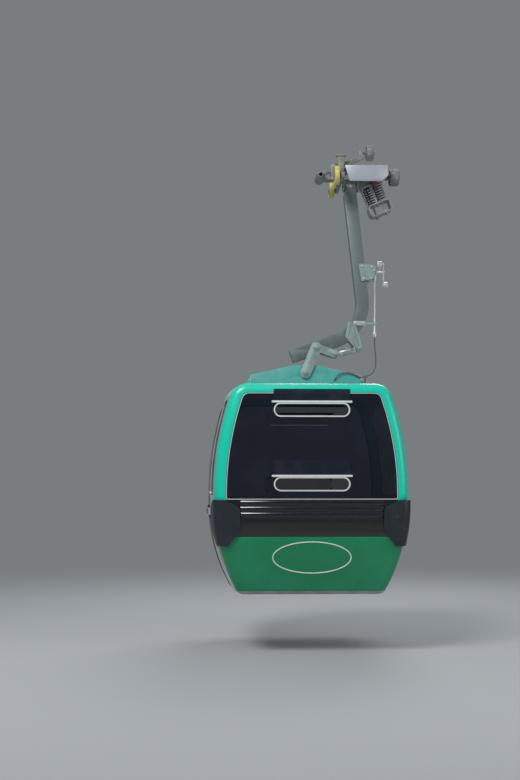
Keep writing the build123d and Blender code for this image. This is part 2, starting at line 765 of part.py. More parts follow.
with BuildPart() as door_lever:
    along_x(*DOOR_SHAFT_X, DOOR_Y, DOOR_SHAFT_Z, AXLE_R)
    for start, end, z, radius in (UPPER_ROLLER, LOWER_ROLLER):
        along_x(start, end, DOOR_Y, z, radius)
        along_x(min(start, DOOR_LEVER_X), max(end, DOOR_LEVER_X), DOOR_Y, z, ROLLER_PIN_R)
    with BuildSketch(Plane.YZ.offset(DOOR_LEVER_X)):
        for start, end, z, radius in (UPPER_ROLLER, LOWER_ROLLER):
            with Locations((DOOR_Y, (DOOR_SHAFT_Z + z) / 2)):
                SlotCenterToCenter(abs(DOOR_SHAFT_Z - z), DOOR_LEVER_WIDTH, rotation=90)
    extrude(amount=DOOR_LEVER_THICK)
finish("door_lever", door_lever.part)

with BuildPart() as door_rod:
    with Locations((DOOR_ROD_X, DOOR_Y, sum(DOOR_ROD_Z) / 2)):
        Cylinder(DOOR_ROD_R, DOOR_ROD_Z[0] - DOOR_ROD_Z[1])
    for z in (DOOR_ROD_Z[0] - SLEEVE_INSET[0], DOOR_ROD_Z[1] + SLEEVE_INSET[1]):
        with Locations((DOOR_ROD_X, DOOR_Y, z)):
            Cylinder(2 * DOOR_ROD_R, SLEEVE_LENGTH)
finish("door_rod", door_rod.part)


def cable(points):
    """Cable along points, its bends as wide as the runs beside them allow."""
    places = [Vector(*point) for point in points]
    runs = [after - before for before, after in zip(places, places[1:])]
    bends = [
        0.45 * min(run.length, after.length) / tan(radians(run.get_angle(after)) / 2)
        for run, after in zip(runs, runs[1:])
    ]
    with BuildPart() as tube:
        with BuildLine() as route:
            FilletPolyline(*points, radius=bends)
        with BuildSketch(Plane(origin=route.line @ 0, z_dir=route.line % 0)):
            Circle(CABLE_R)
        sweep()
    return tube.part


with BuildPart() as cable_clip:
    with Locations(CABLE_HANGING[-1]):
        Box(*CLIP_SIZE)
    with Locations((CABLE_HANGING[-1][0], 0, (CABLE_HANGING[-1][2] + ROOF_Z + BRACKET_THICK) / 2)):
        Box(CLIP_SIZE[0] / 2, 2 * BRACKET_THICK, CABLE_HANGING[-1][2] - ROOF_Z - BRACKET_THICK)
    with Locations((CABLE_HANGING[-1][0], CABLE_HANGING[-1][1] / 2, CABLE_HANGING[-1][2])):
        Box(CLIP_SIZE[0] / 2, -CABLE_HANGING[-1][1], CLIP_SIZE[2] / 2)
    add(lug.part, mode=Mode.SUBTRACT)
hanging = cable(CABLE_HANGING)
on_beam = cable(CABLE_ON_BEAM)
with BuildPart() as door_cable:
    add(hanging)
    add(cable_clip.part, mode=Mode.SUBTRACT)
with BuildPart() as beam_cable:
    add(on_beam)
    add(cable_clip.part, mode=Mode.SUBTRACT)
    add(roof_beam.part, mode=Mode.SUBTRACT)
finish("cable_clip", cable_clip.part)
finish("door_cable", door_cable.part)
finish("beam_cable", beam_cable.part)

# Grip on the rope
ring_r = ROPE_R + JAW_WALL
with BuildPart() as jaw_ring:
    along_y(0, 0, JAW_HALF, ring_r)
    with BuildSketch(Plane.XZ.offset(JAW_HALF)):
        Circle(ring_r)
    with BuildSketch(Plane.XZ.offset(JAW_HALF + TONGUE)):
        Circle(ROPE_R + JAW_WALL / 4)
    loft()
    mirror(about=Plane.XZ)
    along_y(0, 0, JAW_HALF + TONGUE + 1, ROPE_R, Mode.SUBTRACT)

with BuildPart() as grip_body:
    add(jaw_ring.part)
    with Locations((0, 0, -REACH / 2 - JAW_SPLIT / 2)):
        Box(2 * REACH, 2 * REACH, REACH, mode=Mode.INTERSECT)
    with BuildSketch(Plane.XZ):
        with Locations((ROPE_R + JAW_WALL / 2, BODY_BOTTOM)):
            Rectangle(BODY_END_X - ROPE_R - JAW_WALL / 2, -JAW_SPLIT / 2 - BODY_BOTTOM, align=(Align.MIN, Align.MIN))
        with Locations((LEVER_PIVOT[0] - 40, BODY_BOTTOM)):
            Rectangle(BODY_END_X - LEVER_PIVOT[0] + 40, BODY_TOP - BODY_BOTTOM, align=(Align.MIN, Align.MIN))
    extrude(amount=BODY_HALF_Y, both=True)
    with BuildSketch(Plane.XZ.offset(LEVER_HALF_Y + CLEAR)):
        with Locations((LEVER_PIVOT[0], BODY_TOP)):
            Rectangle(80, LEVER_PIVOT[1] - BODY_TOP, align=(Align.CENTER, Align.MIN))
        with Locations(LEVER_PIVOT):
            Circle(40)
    extrude(amount=BODY_HALF_Y - LEVER_HALF_Y - CLEAR)
    mirror(about=Plane.XZ)
    along_y(*LEVER_PIVOT, BODY_HALF_Y + 8, LEVER_PIN_R)
    along_y(0, 0, REACH, ROPE_R, Mode.SUBTRACT)
    # Lugs and pin that carry the hanger
    for side in (-1, 1):
        x = HEAD_X + side * (head_half + CLEAR + LUG_THICK / 2)
        along_x(x - LUG_THICK / 2, x + LUG_THICK / 2, 0, HEAD_Z, LUG_R)
        with Locations((x, 0, (HEAD_Z + BODY_BOTTOM) / 2)):
            Box(LUG_THICK, 2 * LUG_R, BODY_BOTTOM - HEAD_Z)
    along_x(HEAD_X - head_half - 30, HEAD_X + head_half + 30, 0, HEAD_Z, HEAD_PIN_R)
    # Bar and stub axles of the guide rollers
    with Locations((CARRIER_X, 0, GUIDE_ROLLER[1])):
        Box(CARRIER_WIDTH, 2 * GUIDE_ROLLER_Y + 2 * CARRIER_DEPTH, CARRIER_DEPTH)
    for y in (-GUIDE_ROLLER_Y, GUIDE_ROLLER_Y):
        along_x(GUIDE_ROLLER[0] - GUIDE_ROLLER_WIDTH / 2 - 10, CARRIER_X, y, GUIDE_ROLLER[1], AXLE_R)
    # Arm and stub axle of the running roller
    along_x(BODY_END_X - 10, RUNNING_ROLLER[0] + RUNNING_ROLLER_WIDTH / 2 + 10, 0, RUNNING_ROLLER[1], AXLE_R)
    along_x(BODY_END_X - 10, RUNNING_ROLLER[0] - RUNNING_ROLLER_WIDTH / 2 - CLEAR, 0, RUNNING_ROLLER[1], 2 * AXLE_R)
finish("grip_body", grip_body.part)

with BuildPart() as friction_plate:
    with BuildSketch(Plane.XY.offset(PLATE_TOP - PLATE_THICK)):
        with Locations(((PLATE_LEFT + PLATE_RIGHT) / 2, 0)):
            Rectangle(PLATE_RIGHT - PLATE_LEFT, 2 * PLATE_HALF_Y)
    extrude(amount=PLATE_THICK)
    with BuildSketch(Plane.XZ.offset(PLATE_HALF_Y)):
        with BuildLine():
            Polyline(
                (PLATE_LEFT, PLATE_TOP - PLATE_THICK),
                (PLATE_RIGHT, PLATE_TOP - PLATE_THICK),
                (PLATE_RIGHT, SKIRT_BOTTOM + SKIRT_CUT),
                (PLATE_RIGHT - SKIRT_CUT, SKIRT_BOTTOM),
                (PLATE_LEFT + SKIRT_SLANT, SKIRT_BOTTOM),
                close=True,
            )
        make_face()
    extrude(amount=-SKIRT_THICK)
    mirror(about=Plane.XZ)
    fillet(friction_plate.edges().filter_by(Axis.X).group_by(Axis.Z)[-1], PLATE_FOLD_R)
    with Locations(((PLATE_LEFT + BODY_END_X) / 2, 0, (BODY_TOP + PLATE_TOP - PLATE_THICK) / 2)):
        with GridLocations(SPACER_PITCH, 0, 2, 1):
            Box(*SPACER, PLATE_TOP - PLATE_THICK - BODY_TOP)
finish("friction_plate", friction_plate.part)

with BuildPart() as jaw_lever:
    add(jaw_ring.part)
    with Locations((0, 0, REACH / 2 + JAW_SPLIT / 2)):
        Box(2 * REACH, 2 * REACH, REACH, mode=Mode.INTERSECT)
    with BuildSketch(Plane.XZ):
        capsule((0, ROPE_R + 8), LEVER_PIVOT, LEVER_DEPTH / 2)
        capsule(LEVER_PIVOT, LEVER_KNEE, LEVER_DEPTH / 2)
        capsule(LEVER_KNEE, LEVER_TIP, LEVER_DEPTH / 2)
    extrude(amount=LEVER_HALF_Y, both=True)
    along_y(*LEVER_PIVOT, LEVER_HALF_Y, LEVER_DEPTH * 0.7)
    along_y(*LEVER_PIVOT, REACH, LEVER_PIN_R + AXLE_GAP, Mode.SUBTRACT)
    along_y(0, 0, REACH, ROPE_R, Mode.SUBTRACT)
    with Locations((LEVER_TIP[0] - 20, 0, (LEVER_TIP[1] + COUPLING_ROLLER[1]) / 2)):
        Box(40, 2 * LEVER_HALF_Y, COUPLING_ROLLER[1] - LEVER_TIP[1] + LEVER_DEPTH)
    along_x(LEVER_TIP[0] - 20, COUPLING_ROLLER[0] + COUPLING_ROLLER_WIDTH / 2 + 8, 0, COUPLING_ROLLER[1], AXLE_R)
finish("jaw_lever", jaw_lever.part)


def roller(x, y, z, radius, width, groove):
    """Roller on a stub axle parallel to X, with a recess round its hub and a rounded tread."""
    with BuildPart() as wheel:
        with BuildSketch(Plane.XZ):
            with BuildLine():
                Polyline(
                    (-width / 2, AXLE_R + AXLE_GAP),
                    (-width / 2, AXLE_R * 1.8),
                    (-width / 2 + groove, AXLE_R * 1.8),
                    (-width / 2 + groove, radius * 0.72),
                    (-width / 2, radius * 0.72),
                    (-width / 2, radius - groove),
                    (-width / 2 + groove, radius),
                    (width / 2 - groove, radius),
                    (width / 2, radius - groove),
                    (width / 2, radius * 0.72),
                    (width / 2 - groove, radius * 0.72),
                    (width / 2 - groove, AXLE_R * 1.8),
                    (width / 2, AXLE_R * 1.8),
                    (width / 2, AXLE_R + AXLE_GAP),
                    close=True,
                )
            make_face()
        revolve(axis=Axis.X)
    return wheel.part.moved(Location((x, y, z)))


rollers = {
    "coupling_roller": roller(COUPLING_ROLLER[0], 0, COUPLING_ROLLER[1], COUPLING_ROLLER_R, COUPLING_ROLLER_WIDTH, 9),
    "running_roller": roller(RUNNING_ROLLER[0], 0, RUNNING_ROLLER[1], RUNNING_ROLLER_R, RUNNING_ROLLER_WIDTH, 10),
    "guide_roller_front": roller(GUIDE_ROLLER[0], -GUIDE_ROLLER_Y, GUIDE_ROLLER[1], GUIDE_ROLLER_R, GUIDE_ROLLER_WIDTH, 8),
    "guide_roller_rear": roller(GUIDE_ROLLER[0], GUIDE_ROLLER_Y, GUIDE_ROLLER[1], GUIDE_ROLLER_R, GUIDE_ROLLER_WIDTH, 8),
}
for name, piece in rollers.items():
    finish(name, piece)

with BuildPart() as guide_post:
    for length, width, bottom, top in POST_PARTS:
        with Locations((POST_X, POST_Y, bottom)):
            Box(length, width, top - bottom, align=(Align.CENTER, Align.CENTER, Align.MIN))
finish("guide_post", guide_post.part)

# Springs and yoke under the grip
spring_run = hypot(SPRING_FOOT[0] - SPRING_TOP[0], SPRING_FOOT[1] - SPRING_TOP[1])
spring_lean = atan2(SPRING_FOOT[0] - SPRING_TOP[0], SPRING_TOP[1] - SPRING_FOOT[1])
seat_reach = SPRING_ACROSS + SIDE_ROD_ACROSS + SEAT_MARGIN
seat_start = (seat_reach * sin(spring_lean) + SPRING_TOP[1] - BODY_BOTTOM + CLEAR / 2) / cos(spring_lean)
spring_start = seat_start + SEAT_THICK
spring_end = spring_run - YOKE_HALF_HEIGHT
ring_bottom = spring_run + YOKE_HALF_HEIGHT


def spring_point(across, down):
    """Point of the XZ plane by its distances across the yoke and down the springs."""
    return (
        SPRING_TOP[0] + across * cos(spring_lean) + down * sin(spring_lean),
        SPRING_TOP[1] + across * sin(spring_lean) - down * cos(spring_lean),
    )


def spring_plane(across, y, down):
    """Plane square to the springs at that point, facing down."""
    x, z = spring_point(across, down)
    return Plane(
        origin=(x, y, z),
        x_dir=(cos(spring_lean), 0, sin(spring_lean)),
        z_dir=(sin(spring_lean), 0, -cos(spring_lean)),
    )


places = [("spring_front", SPRING_ACROSS, -SPRING_Y), ("spring_rear", -SPRING_ACROSS, SPRING_Y)]
coil_height = spring_end - spring_start - 2 * SPRING_WIRE_R
with BuildPart() as coil:
    with BuildLine() as coil_line:
        Helix(pitch=coil_height / SPRING_TURNS, height=coil_height, radius=SPRING_R)
    with BuildSketch(Plane(origin=coil_line.line @ 0, z_dir=coil_line.line % 0)):
        Circle(SPRING_WIRE_R)
    sweep(is_frenet=True)
for name, across, y in places:
    finish(name, spring_plane(across, y, spring_start + SPRING_WIRE_R).location * coil.part)

cap_left = (SPRING_TOP[0] - YOKE_CAP_HALF, BODY_BOTTOM - YOKE_CAP_THICK / 2)
cap_right = (SPRING_TOP[0] + YOKE_CAP_HALF, BODY_BOTTOM - YOKE_CAP_THICK / 2)
ring_front = Plane(
    origin=(spring_point(0, spring_run)[0], 0, spring_point(0, spring_run)[1]),
    x_dir=(cos(spring_lean), 0, sin(spring_lean)),
    z_dir=(0, -1, 0),
)
with BuildPart() as spring_yoke:
    with BuildSketch(ring_front):
        RectangleRounded(2 * YOKE_HALF_WIDTH, 2 * YOKE_HALF_HEIGHT, YOKE_CORNER_R)
        RectangleRounded(
            2 * (YOKE_HALF_WIDTH - YOKE_WALL),
            2 * (YOKE_HALF_HEIGHT - YOKE_WALL),
            YOKE_CORNER_R - YOKE_WALL,
            mode=Mode.SUBTRACT,
        )
    extrude(amount=YOKE_HALF_Y, both=True)
    for name, across, y in places:
        with BuildSketch(spring_plane(across, y, seat_start)):
            Circle(GUIDE_ROD_R)
        extrude(amount=ring_bottom + 2 * NUT_THICK - seat_start)
        for side in (-SIDE_ROD_ACROSS, SIDE_ROD_ACROSS):
            with BuildSketch(spring_plane(across + side, y, seat_start)):
                Circle(SIDE_ROD_R)
            extrude(amount=spring_end + 2 * NUT_THICK - seat_start)
            with BuildSketch(spring_plane(across + side, y, spring_end + YOKE_WALL)):
                RegularPolygon(NUT_R, 6)
            extrude(amount=NUT_THICK)
        for level in (spring_end + YOKE_WALL, ring_bottom):
            with BuildSketch(spring_plane(across, y, level)):
                RegularPolygon(1.3 * NUT_R, 6)
            extrude(amount=NUT_THICK)
    with BuildSketch(spring_plane(0, 0, seat_start)):
        Rectangle(2 * seat_reach, 2 * (SPRING_Y + SPRING_R + SPRING_WIRE_R))
    extrude(amount=SEAT_THICK)
    with BuildSketch(Plane.XZ):
        with BuildLine():
            Polyline(
                cap_left,
                cap_right,
                spring_point(YOKE_CAP_HALF, seat_start + 1),
                spring_point(-YOKE_CAP_HALF, seat_start + 1),
                close=True,
            )
        make_face()
    extrude(amount=SPRING_Y, both=True)
    with Locations((SPRING_TOP[0], 0, BODY_BOTTOM)):
        Box(
            2 * YOKE_CAP_HALF,
            2 * YOKE_CAP_HALF_Y,
            YOKE_CAP_THICK,
            align=(Align.CENTER, Align.CENTER, Align.MAX),
        )
finish("spring_yoke", spring_yoke.part)
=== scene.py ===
# %% [markdown]
# # A cable car cabin, finished in Blender
# The cabin hangs from a bent arm, and the arm from a spring grip that holds a moving rope. Its main
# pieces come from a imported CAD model, in metres, with the rope's axis at the origin. Blender adds what
# a drawing office leaves out: soft edges, paint, dust, bolts, seals and seat shells.

# %% Load the frame
import json
from math import cos, pi, radians, sin

import bmesh
import bpy
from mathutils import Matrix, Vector
from mathutils.bvhtree import BVHTree


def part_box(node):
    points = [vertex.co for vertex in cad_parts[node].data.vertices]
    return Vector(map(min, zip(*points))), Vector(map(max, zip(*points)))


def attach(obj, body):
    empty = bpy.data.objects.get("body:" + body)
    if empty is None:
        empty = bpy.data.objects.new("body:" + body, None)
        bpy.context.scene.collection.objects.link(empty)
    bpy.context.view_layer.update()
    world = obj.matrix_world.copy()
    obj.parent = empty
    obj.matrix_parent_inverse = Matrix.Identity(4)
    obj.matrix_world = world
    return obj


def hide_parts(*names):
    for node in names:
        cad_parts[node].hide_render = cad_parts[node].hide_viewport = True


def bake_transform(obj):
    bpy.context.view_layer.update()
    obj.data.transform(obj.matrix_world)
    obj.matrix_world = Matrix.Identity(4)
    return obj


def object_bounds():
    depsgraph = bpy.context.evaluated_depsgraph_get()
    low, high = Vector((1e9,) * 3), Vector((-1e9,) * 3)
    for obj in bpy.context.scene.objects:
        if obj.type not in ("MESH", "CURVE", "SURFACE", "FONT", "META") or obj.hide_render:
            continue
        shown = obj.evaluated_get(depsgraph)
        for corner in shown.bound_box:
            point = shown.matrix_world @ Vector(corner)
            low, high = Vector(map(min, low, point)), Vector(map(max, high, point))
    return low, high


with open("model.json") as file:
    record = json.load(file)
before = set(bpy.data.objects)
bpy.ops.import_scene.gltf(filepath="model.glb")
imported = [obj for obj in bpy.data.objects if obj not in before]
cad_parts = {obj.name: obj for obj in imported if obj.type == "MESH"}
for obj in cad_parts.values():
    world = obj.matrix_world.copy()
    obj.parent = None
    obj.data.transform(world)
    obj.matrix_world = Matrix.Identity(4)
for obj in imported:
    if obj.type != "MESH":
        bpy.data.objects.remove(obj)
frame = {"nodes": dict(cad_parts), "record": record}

cad_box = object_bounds()
print("nodes", len(frame["nodes"]), "box", cad_box)

# %% [markdown]
# ## The camera
# The picture fits a longish lens, held level and then framed low, which a small vertical shift repeats.
# A level camera keeps upright lines upright. The focal length was measured in pixels of a picture 780
# high, so it is turned into millimetres on a sensor 36 high.

# %% Camera
PICTURE_HEIGHT = 780
FOCAL_PIXELS = 1172
HORIZON_ROW = 488
SENSOR = 36.0
EYE = Vector((-1.027, -12.08, -3.20))
HEADING = radians(1.95)  # from +Y towards +X

camera_data = bpy.data.cameras.new("camera")
camera_data.sensor_fit = "VERTICAL"
camera_data.sensor_height = SENSOR
camera_data.lens = SENSOR * FOCAL_PIXELS / PICTURE_HEIGHT
camera_data.shift_y = (HORIZON_ROW - PICTURE_HEIGHT / 2) / PICTURE_HEIGHT
camera = bpy.data.objects.new("camera", camera_data)
camera.location = EYE
camera.rotation_euler = (pi / 2, 0, -HEADING)
bpy.context.collection.objects.link(camera)
bpy.context.scene.camera = camera
print("lens", round(camera_data.lens, 1), "shift", round(camera_data.shift_y, 3))

# %% [markdown]
# ## Light and background
# Three large soft lamps and an even sky light the cabin as an overcast noon would. The background's
# brightness comes from its own colour, which only the camera, mirrors and glass see, so the object isn't
# lit any harder by it.

# %% Light
BACKDROP = (0.19, 0.205, 0.215, 1)
SKY = (0.80, 0.90, 1.0, 1)
SKY_STRENGTH = 0.34
LAMPS = [  # name, place, watts, size
    ("key", (-5.0, -7.0, 5.5), 800, 4.0),
    ("fill", (7.5, -6.0, -0.5), 150, 5.0),
    ("back", (2.5, 8.0, 4.5), 420, 5.0),
]


def aim(thing, target):
    """Turn a lamp so that it looks at a point."""
    thing.rotation_euler = (Vector(target) - thing.location).to_track_quat("-Z", "Y").to_euler()


cabin_heart = (cad_box[0] + cad_box[1]) / 2
for name, place, watts, size in LAMPS:
    lamp_data = bpy.data.lights.new(name, "AREA")
    lamp_data.energy = watts
    lamp_data.size = size
    lamp = bpy.data.objects.new(name, lamp_data)
    lamp.location = place
    bpy.context.collection.objects.link(lamp)
    aim(lamp, cabin_heart)

world = bpy.data.worlds.new("studio")
bpy.context.scene.world = world
world.use_nodes = True
sky_nodes, sky_links = world.node_tree.nodes, world.node_tree.links
sky = sky_nodes["Background"]
sky.inputs["Color"].default_value = SKY
sky.inputs["Strength"].default_value = SKY_STRENGTH
seen = sky_nodes.new("ShaderNodeBackground")
seen.inputs["Color"].default_value = BACKDROP
light_path = sky_nodes.new("ShaderNodeLightPath")


def either_ray(nodes, links, path_node):
    """One where a ray comes from the camera, a mirror or a pane of glass."""
    total = path_node.outputs["Is Camera Ray"]
    for other in ("Is Glossy Ray", "Is Transmission Ray"):
        largest = nodes.new("ShaderNodeMath")
        largest.operation = "MAXIMUM"
        links.new(total, largest.inputs[0])
        links.new(path_node.outputs[other], largest.inputs[1])
        total = largest.outputs[0]
    return total


choose = sky_nodes.new("ShaderNodeMixShader")
sky_links.new(either_ray(sky_nodes, sky_links, light_path), choose.inputs["Fac"])
sky_links.new(sky.outputs[0], choose.inputs[1])
sky_links.new(seen.outputs[0], choose.inputs[2])
sky_links.new(choose.outputs[0], sky_nodes["World Output"].inputs["Surface"])
bpy.context.scene.view_settings.view_transform = "Standard"
print("lamps", [lamp[0] for lamp in LAMPS], "aimed at", [round(value, 2) for value in cabin_heart])

# %% [markdown]
# ## The floor
# A studio sweeps its floor up into the backdrop. This one stays flat and its paint fades into the
# background's colour with distance, by a mask on the distance from the middle, so no horizon cuts the
# picture, the edge of the plane never shows, and the cabin keeps its shadow.

# %% Floor
FLOOR_Z = -4.80
FLOOR_HALF = 60.0
FLOOR_COLOUR = (0.46, 0.47, 0.48, 1)
FLOOR_ROUGHNESS = 0.9
FADE_FROM, FADE_TO = 3.0, 14.0


def deselect():
    """Nothing selected, because an operator acts on all that is."""
    if bpy.context.object and bpy.context.object.mode == "EDIT":
        bpy.ops.object.mode_set(mode="OBJECT")
    bpy.ops.object.select_all(action="DESELECT")


deselect()
bpy.ops.mesh.primitive_plane_add(size=2 * FLOOR_HALF, location=(0, 0, FLOOR_Z))
floor = bpy.context.object
floor.name = "floor"
bpy.ops.object.transform_apply(location=True)
floor_paint = bpy.data.materials.new("pale floor")
floor_paint.use_nodes = True
nodes, links = floor_paint.node_tree.nodes, floor_paint.node_tree.links
plain = nodes["Principled BSDF"]
plain.inputs["Base Color"].default_value = FLOOR_COLOUR
plain.inputs["Roughness"].default_value = FLOOR_ROUGHNESS
place = nodes.new("ShaderNodeTexCoord")
reach = nodes.new("ShaderNodeVectorMath")
reach.operation = "LENGTH"
fade = nodes.new("ShaderNodeMapRange")
fade.interpolation_type = "SMOOTHSTEP"
fade.inputs["From Min"].default_value = FADE_FROM
fade.inputs["From Max"].default_value = FADE_TO
glow = nodes.new("ShaderNodeEmission")
glow.inputs["Color"].default_value = BACKDROP
blend = nodes.new("ShaderNodeMixShader")
flat = nodes.new("ShaderNodeVectorMath")
flat.operation = "MULTIPLY"
flat.inputs[1].default_value = (1, 1, 0)
links.new(place.outputs["Object"], flat.inputs[0])
links.new(flat.outputs[0], reach.inputs[0])
links.new(reach.outputs["Value"], fade.inputs["Value"])
links.new(fade.outputs["Result"], blend.inputs["Fac"])
links.new(plain.outputs[0], blend.inputs[1])
links.new(glow.outputs[0], blend.inputs[2])
links.new(blend.outputs[0], nodes["Material Output"].inputs["Surface"])
floor.data.materials.append(floor_paint)
print("floor", 2 * FLOOR_HALF, "across at", FLOOR_Z)

# %% [markdown]
# ## A small kit for finishes
# Every finish starts as one shader with a plain colour. Then layers are laid over it, as weather does.
# A material is a tree of nodes, and two short helpers keep each tree readable: one makes the shader with
# its plain values, and one adds a node of a given kind.


# %% Finish kit
def finish(name, colour, roughness, metallic=0.0, **sockets):
    """New material with one shader, its plain values set on the shader's own sockets."""
    material = bpy.data.materials.new(name)
    material.use_nodes = True
    surface = material.node_tree.nodes["Principled BSDF"]
    surface.inputs["Base Color"].default_value = (*colour, 1)
    surface.inputs["Roughness"].default_value = roughness
    surface.inputs["Metallic"].default_value = metallic
    for socket, value in sockets.items():
        surface.inputs[socket.replace("_", " ")].default_value = value
    return material


def added(material, kind, **values):
    """New node in the material's tree."""
    made = material.node_tree.nodes.new("ShaderNode" + kind)
    for key, value in values.items():
        setattr(made, key, value)
    return made


# %% [markdown]
# ## Patterns
# Dirt, fading and crystals all start as a number from 0 to 1 at each point. Painted pictures could give
# it, but noise worked out from the place needs none. The patterns read the object's own coordinates in
# metres, so a scale is a real size, and they stay put when the piece is posed or exported. Only dust
# asks which way a face looks.

# %% Patterns
LUMPINESS = 0.55  # how much the finer lumps of a cloud count
DUST_SLOPE = (0.3, 0.95)  # upward part of a face's normal where dust starts to lie, and where it is full


def where(material, stretch=(1, 1, 1)):
    """Object coordinates in metres, squeezed along each axis by stretch."""
    place = added(material, "TexCoord")
    squeeze = added(material, "Mapping")
    squeeze.inputs["Scale"].default_value = stretch
    material.node_tree.links.new(place.outputs["Object"], squeeze.inputs["Vector"])
    return squeeze.outputs["Vector"]


def cloud(material, scale, detail=5.0, stretch=(1, 1, 1)):
    """Soft noise from 0 to 1; scale is lumps per metre."""
    texture = added(material, "TexNoise")
    texture.inputs["Scale"].default_value = scale
    texture.inputs["Detail"].default_value = detail
    texture.inputs["Roughness"].default_value = LUMPINESS
    material.node_tree.links.new(where(material, stretch), texture.inputs["Vector"])
    return texture.outputs["Fac"]


def crystals(material, scale):
    """A random grey for each cell, as on zinc; scale is cells per metre."""
    texture = added(material, "TexVoronoi")
    texture.inputs["Scale"].default_value = scale
    material.node_tree.links.new(where(material), texture.inputs["Vector"])
    grey = added(material, "RGBToBW")
    material.node_tree.links.new(texture.outputs["Color"], grey.inputs[0])
    return grey.outputs[0]


def between(material, value, low, high, to_low=0.0, to_high=1.0):
    """Stretch the part of a value from low to high over a new range."""
    spread = added(material, "MapRange")
    for socket, number in (("From Min", low), ("From Max", high), ("To Min", to_low), ("To Max", to_high)):
        spread.inputs[socket].default_value = number
    material.node_tree.links.new(value, spread.inputs["Value"])
    return spread.outputs["Result"]


def times(material, first, second):
    """Product of two patterns."""
    product = added(material, "Math", operation="MULTIPLY")
    material.node_tree.links.new(first, product.inputs[0])
    material.node_tree.links.new(second, product.inputs[1])
    return product.outputs[0]


def height(material, low, high):
    """From 0 at one height to 1 at another, in metres of the frame."""
    split = added(material, "SeparateXYZ")
    material.node_tree.links.new(where(material), split.inputs[0])
    return between(material, split.outputs["Z"], low, high)


def upward(material):
    """One on faces that look up, where dust lies."""
    geometry = added(material, "NewGeometry")
    split = added(material, "SeparateXYZ")
    material.node_tree.links.new(geometry.outputs["Normal"], split.inputs[0])
    return between(material, split.outputs["Z"], *DUST_SLOPE)


# %% [markdown]
# ## Layers
# A pattern becomes weather in three ways: a colour that covers what lies below it where the pattern is
# strong, a roughness that follows the pattern, and relief. Each new colour takes what is already plugged
# into the shader as its ground, so colours can be stacked in any number.


# %% Layers
def over(material, pattern, colour):
    """Lay a colour over the base colour where the pattern is strong."""
    surface = material.node_tree.nodes["Principled BSDF"].inputs["Base Color"]
    layer = added(material, "Mix", data_type="RGBA")
    under = [socket for socket in layer.inputs if socket.name == "A" and socket.type == "RGBA"][0]
    top = [socket for socket in layer.inputs if socket.name == "B" and socket.type == "RGBA"][0]
    if surface.links:
        material.node_tree.links.new(surface.links[0].from_socket, under)
    else:
        under.default_value = surface.default_value
    top.default_value = (*colour, 1)
    material.node_tree.links.new(pattern, layer.inputs["Factor"])
    output = [socket for socket in layer.outputs if socket.type == "RGBA"][0]
    material.node_tree.links.new(output, surface)


def patches(material, pattern, band, most, colour):
    """Lay a colour over where a pattern rises through a band, up to the share most."""
    over(material, between(material, pattern, *band, 0.0, most), colour)


def dusted(material, pattern, band, most, colour):
    """The same, but only on faces that look up."""
    lumps = between(material, pattern, *band, 0.0, most)
    over(material, times(material, upward(material), lumps), colour)


def rough(material, pattern, low, high):
    """Roughness that follows a pattern."""
    surface = material.node_tree.nodes["Principled BSDF"].inputs["Roughness"]
    material.node_tree.links.new(between(material, pattern, 0.0, 1.0, low, high), surface)


def relief(material, pattern, depth):
    """Raise the surface by depth, in metres, where the pattern is strong."""
    surface = material.node_tree.nodes["Principled BSDF"].inputs["Normal"]
    bump = added(material, "Bump")
    bump.inputs["Distance"].default_value = depth
    material.node_tree.links.new(pattern, bump.inputs["Height"])
    material.node_tree.links.new(bump.outputs[0], surface)


# %% [markdown]
# ## Painted finishes
# The cabin's ends are glass fibre under a thick green gloss. The posts and the roof bar are painted a
# bright cyan green as painted skylight, and the belly a deep green as painted shade. Rain leaves
# faint upright streaks, and grit dulls the gloss in patches.

# %% Painted finishes
DUST = (0.36, 0.33, 0.28)
# Painted light: the bright cyan green on top is painted skylight, and the deep green below is painted
# shade.
GREEN_PAINTED_SKYLIT = (0.001, 0.700, 0.480)
GREEN_PAINTED_SHADE = (0.0005, 0.225, 0.082)
GREEN_PAINTED_LIGHT_Z = (-3.70, -3.30)  # deep below the first, bright above the second

green_paint = finish("green paint", GREEN_PAINTED_SHADE, 0.3, Coat_Weight=0.2, Coat_Roughness=0.12)
# Painted skylight above, painted shade below, blended by height.
over(green_paint, height(green_paint, *GREEN_PAINTED_LIGHT_Z), GREEN_PAINTED_SKYLIT)
patches(green_paint, cloud(green_paint, 2, 3), (0.45, 0.75), 0.12, (0.06, 0.60, 0.45))
patches(green_paint, cloud(green_paint, 9, 6, (2.5, 2.5, 0.18)), (0.56, 0.80), 0.30, (0.03, 0.18, 0.12))
dusted(green_paint, cloud(green_paint, 14), (0.4, 0.7), 0.35, DUST)
rough(green_paint, cloud(green_paint, 5), 0.16, 0.46)
relief(green_paint, cloud(green_paint, 260, 2), 0.00012)

beam_teal = finish("faded teal paint", (0.070, 0.40, 0.36), 0.5)
patches(beam_teal, cloud(beam_teal, 6, 6), (0.42, 0.72), 0.50, (0.17, 0.52, 0.48))
patches(beam_teal, cloud(beam_teal, 22, 8, (1.5, 1.5, 0.3)), (0.58, 0.75), 0.6, (0.16, 0.20, 0.17))
dusted(beam_teal, cloud(beam_teal, 9), (0.3, 0.6), 0.6, DUST)
rough(beam_teal, cloud(beam_teal, 12), 0.42, 0.75)
relief(beam_teal, cloud(beam_teal, 180, 3), 0.0003)

roof_alloy = finish("roof paint", (0.52, 0.58, 0.55), 0.5)
patches(roof_alloy, cloud(roof_alloy, 3.5, 7), (0.42, 0.72), 0.5, (0.34, 0.36, 0.31))
patches(roof_alloy, cloud(roof_alloy, 30, 6), (0.60, 0.72), 0.5, (0.22, 0.22, 0.18))
rough(roof_alloy, cloud(roof_alloy, 8), 0.40, 0.70)
relief(roof_alloy, cloud(roof_alloy, 140, 3), 0.0003)

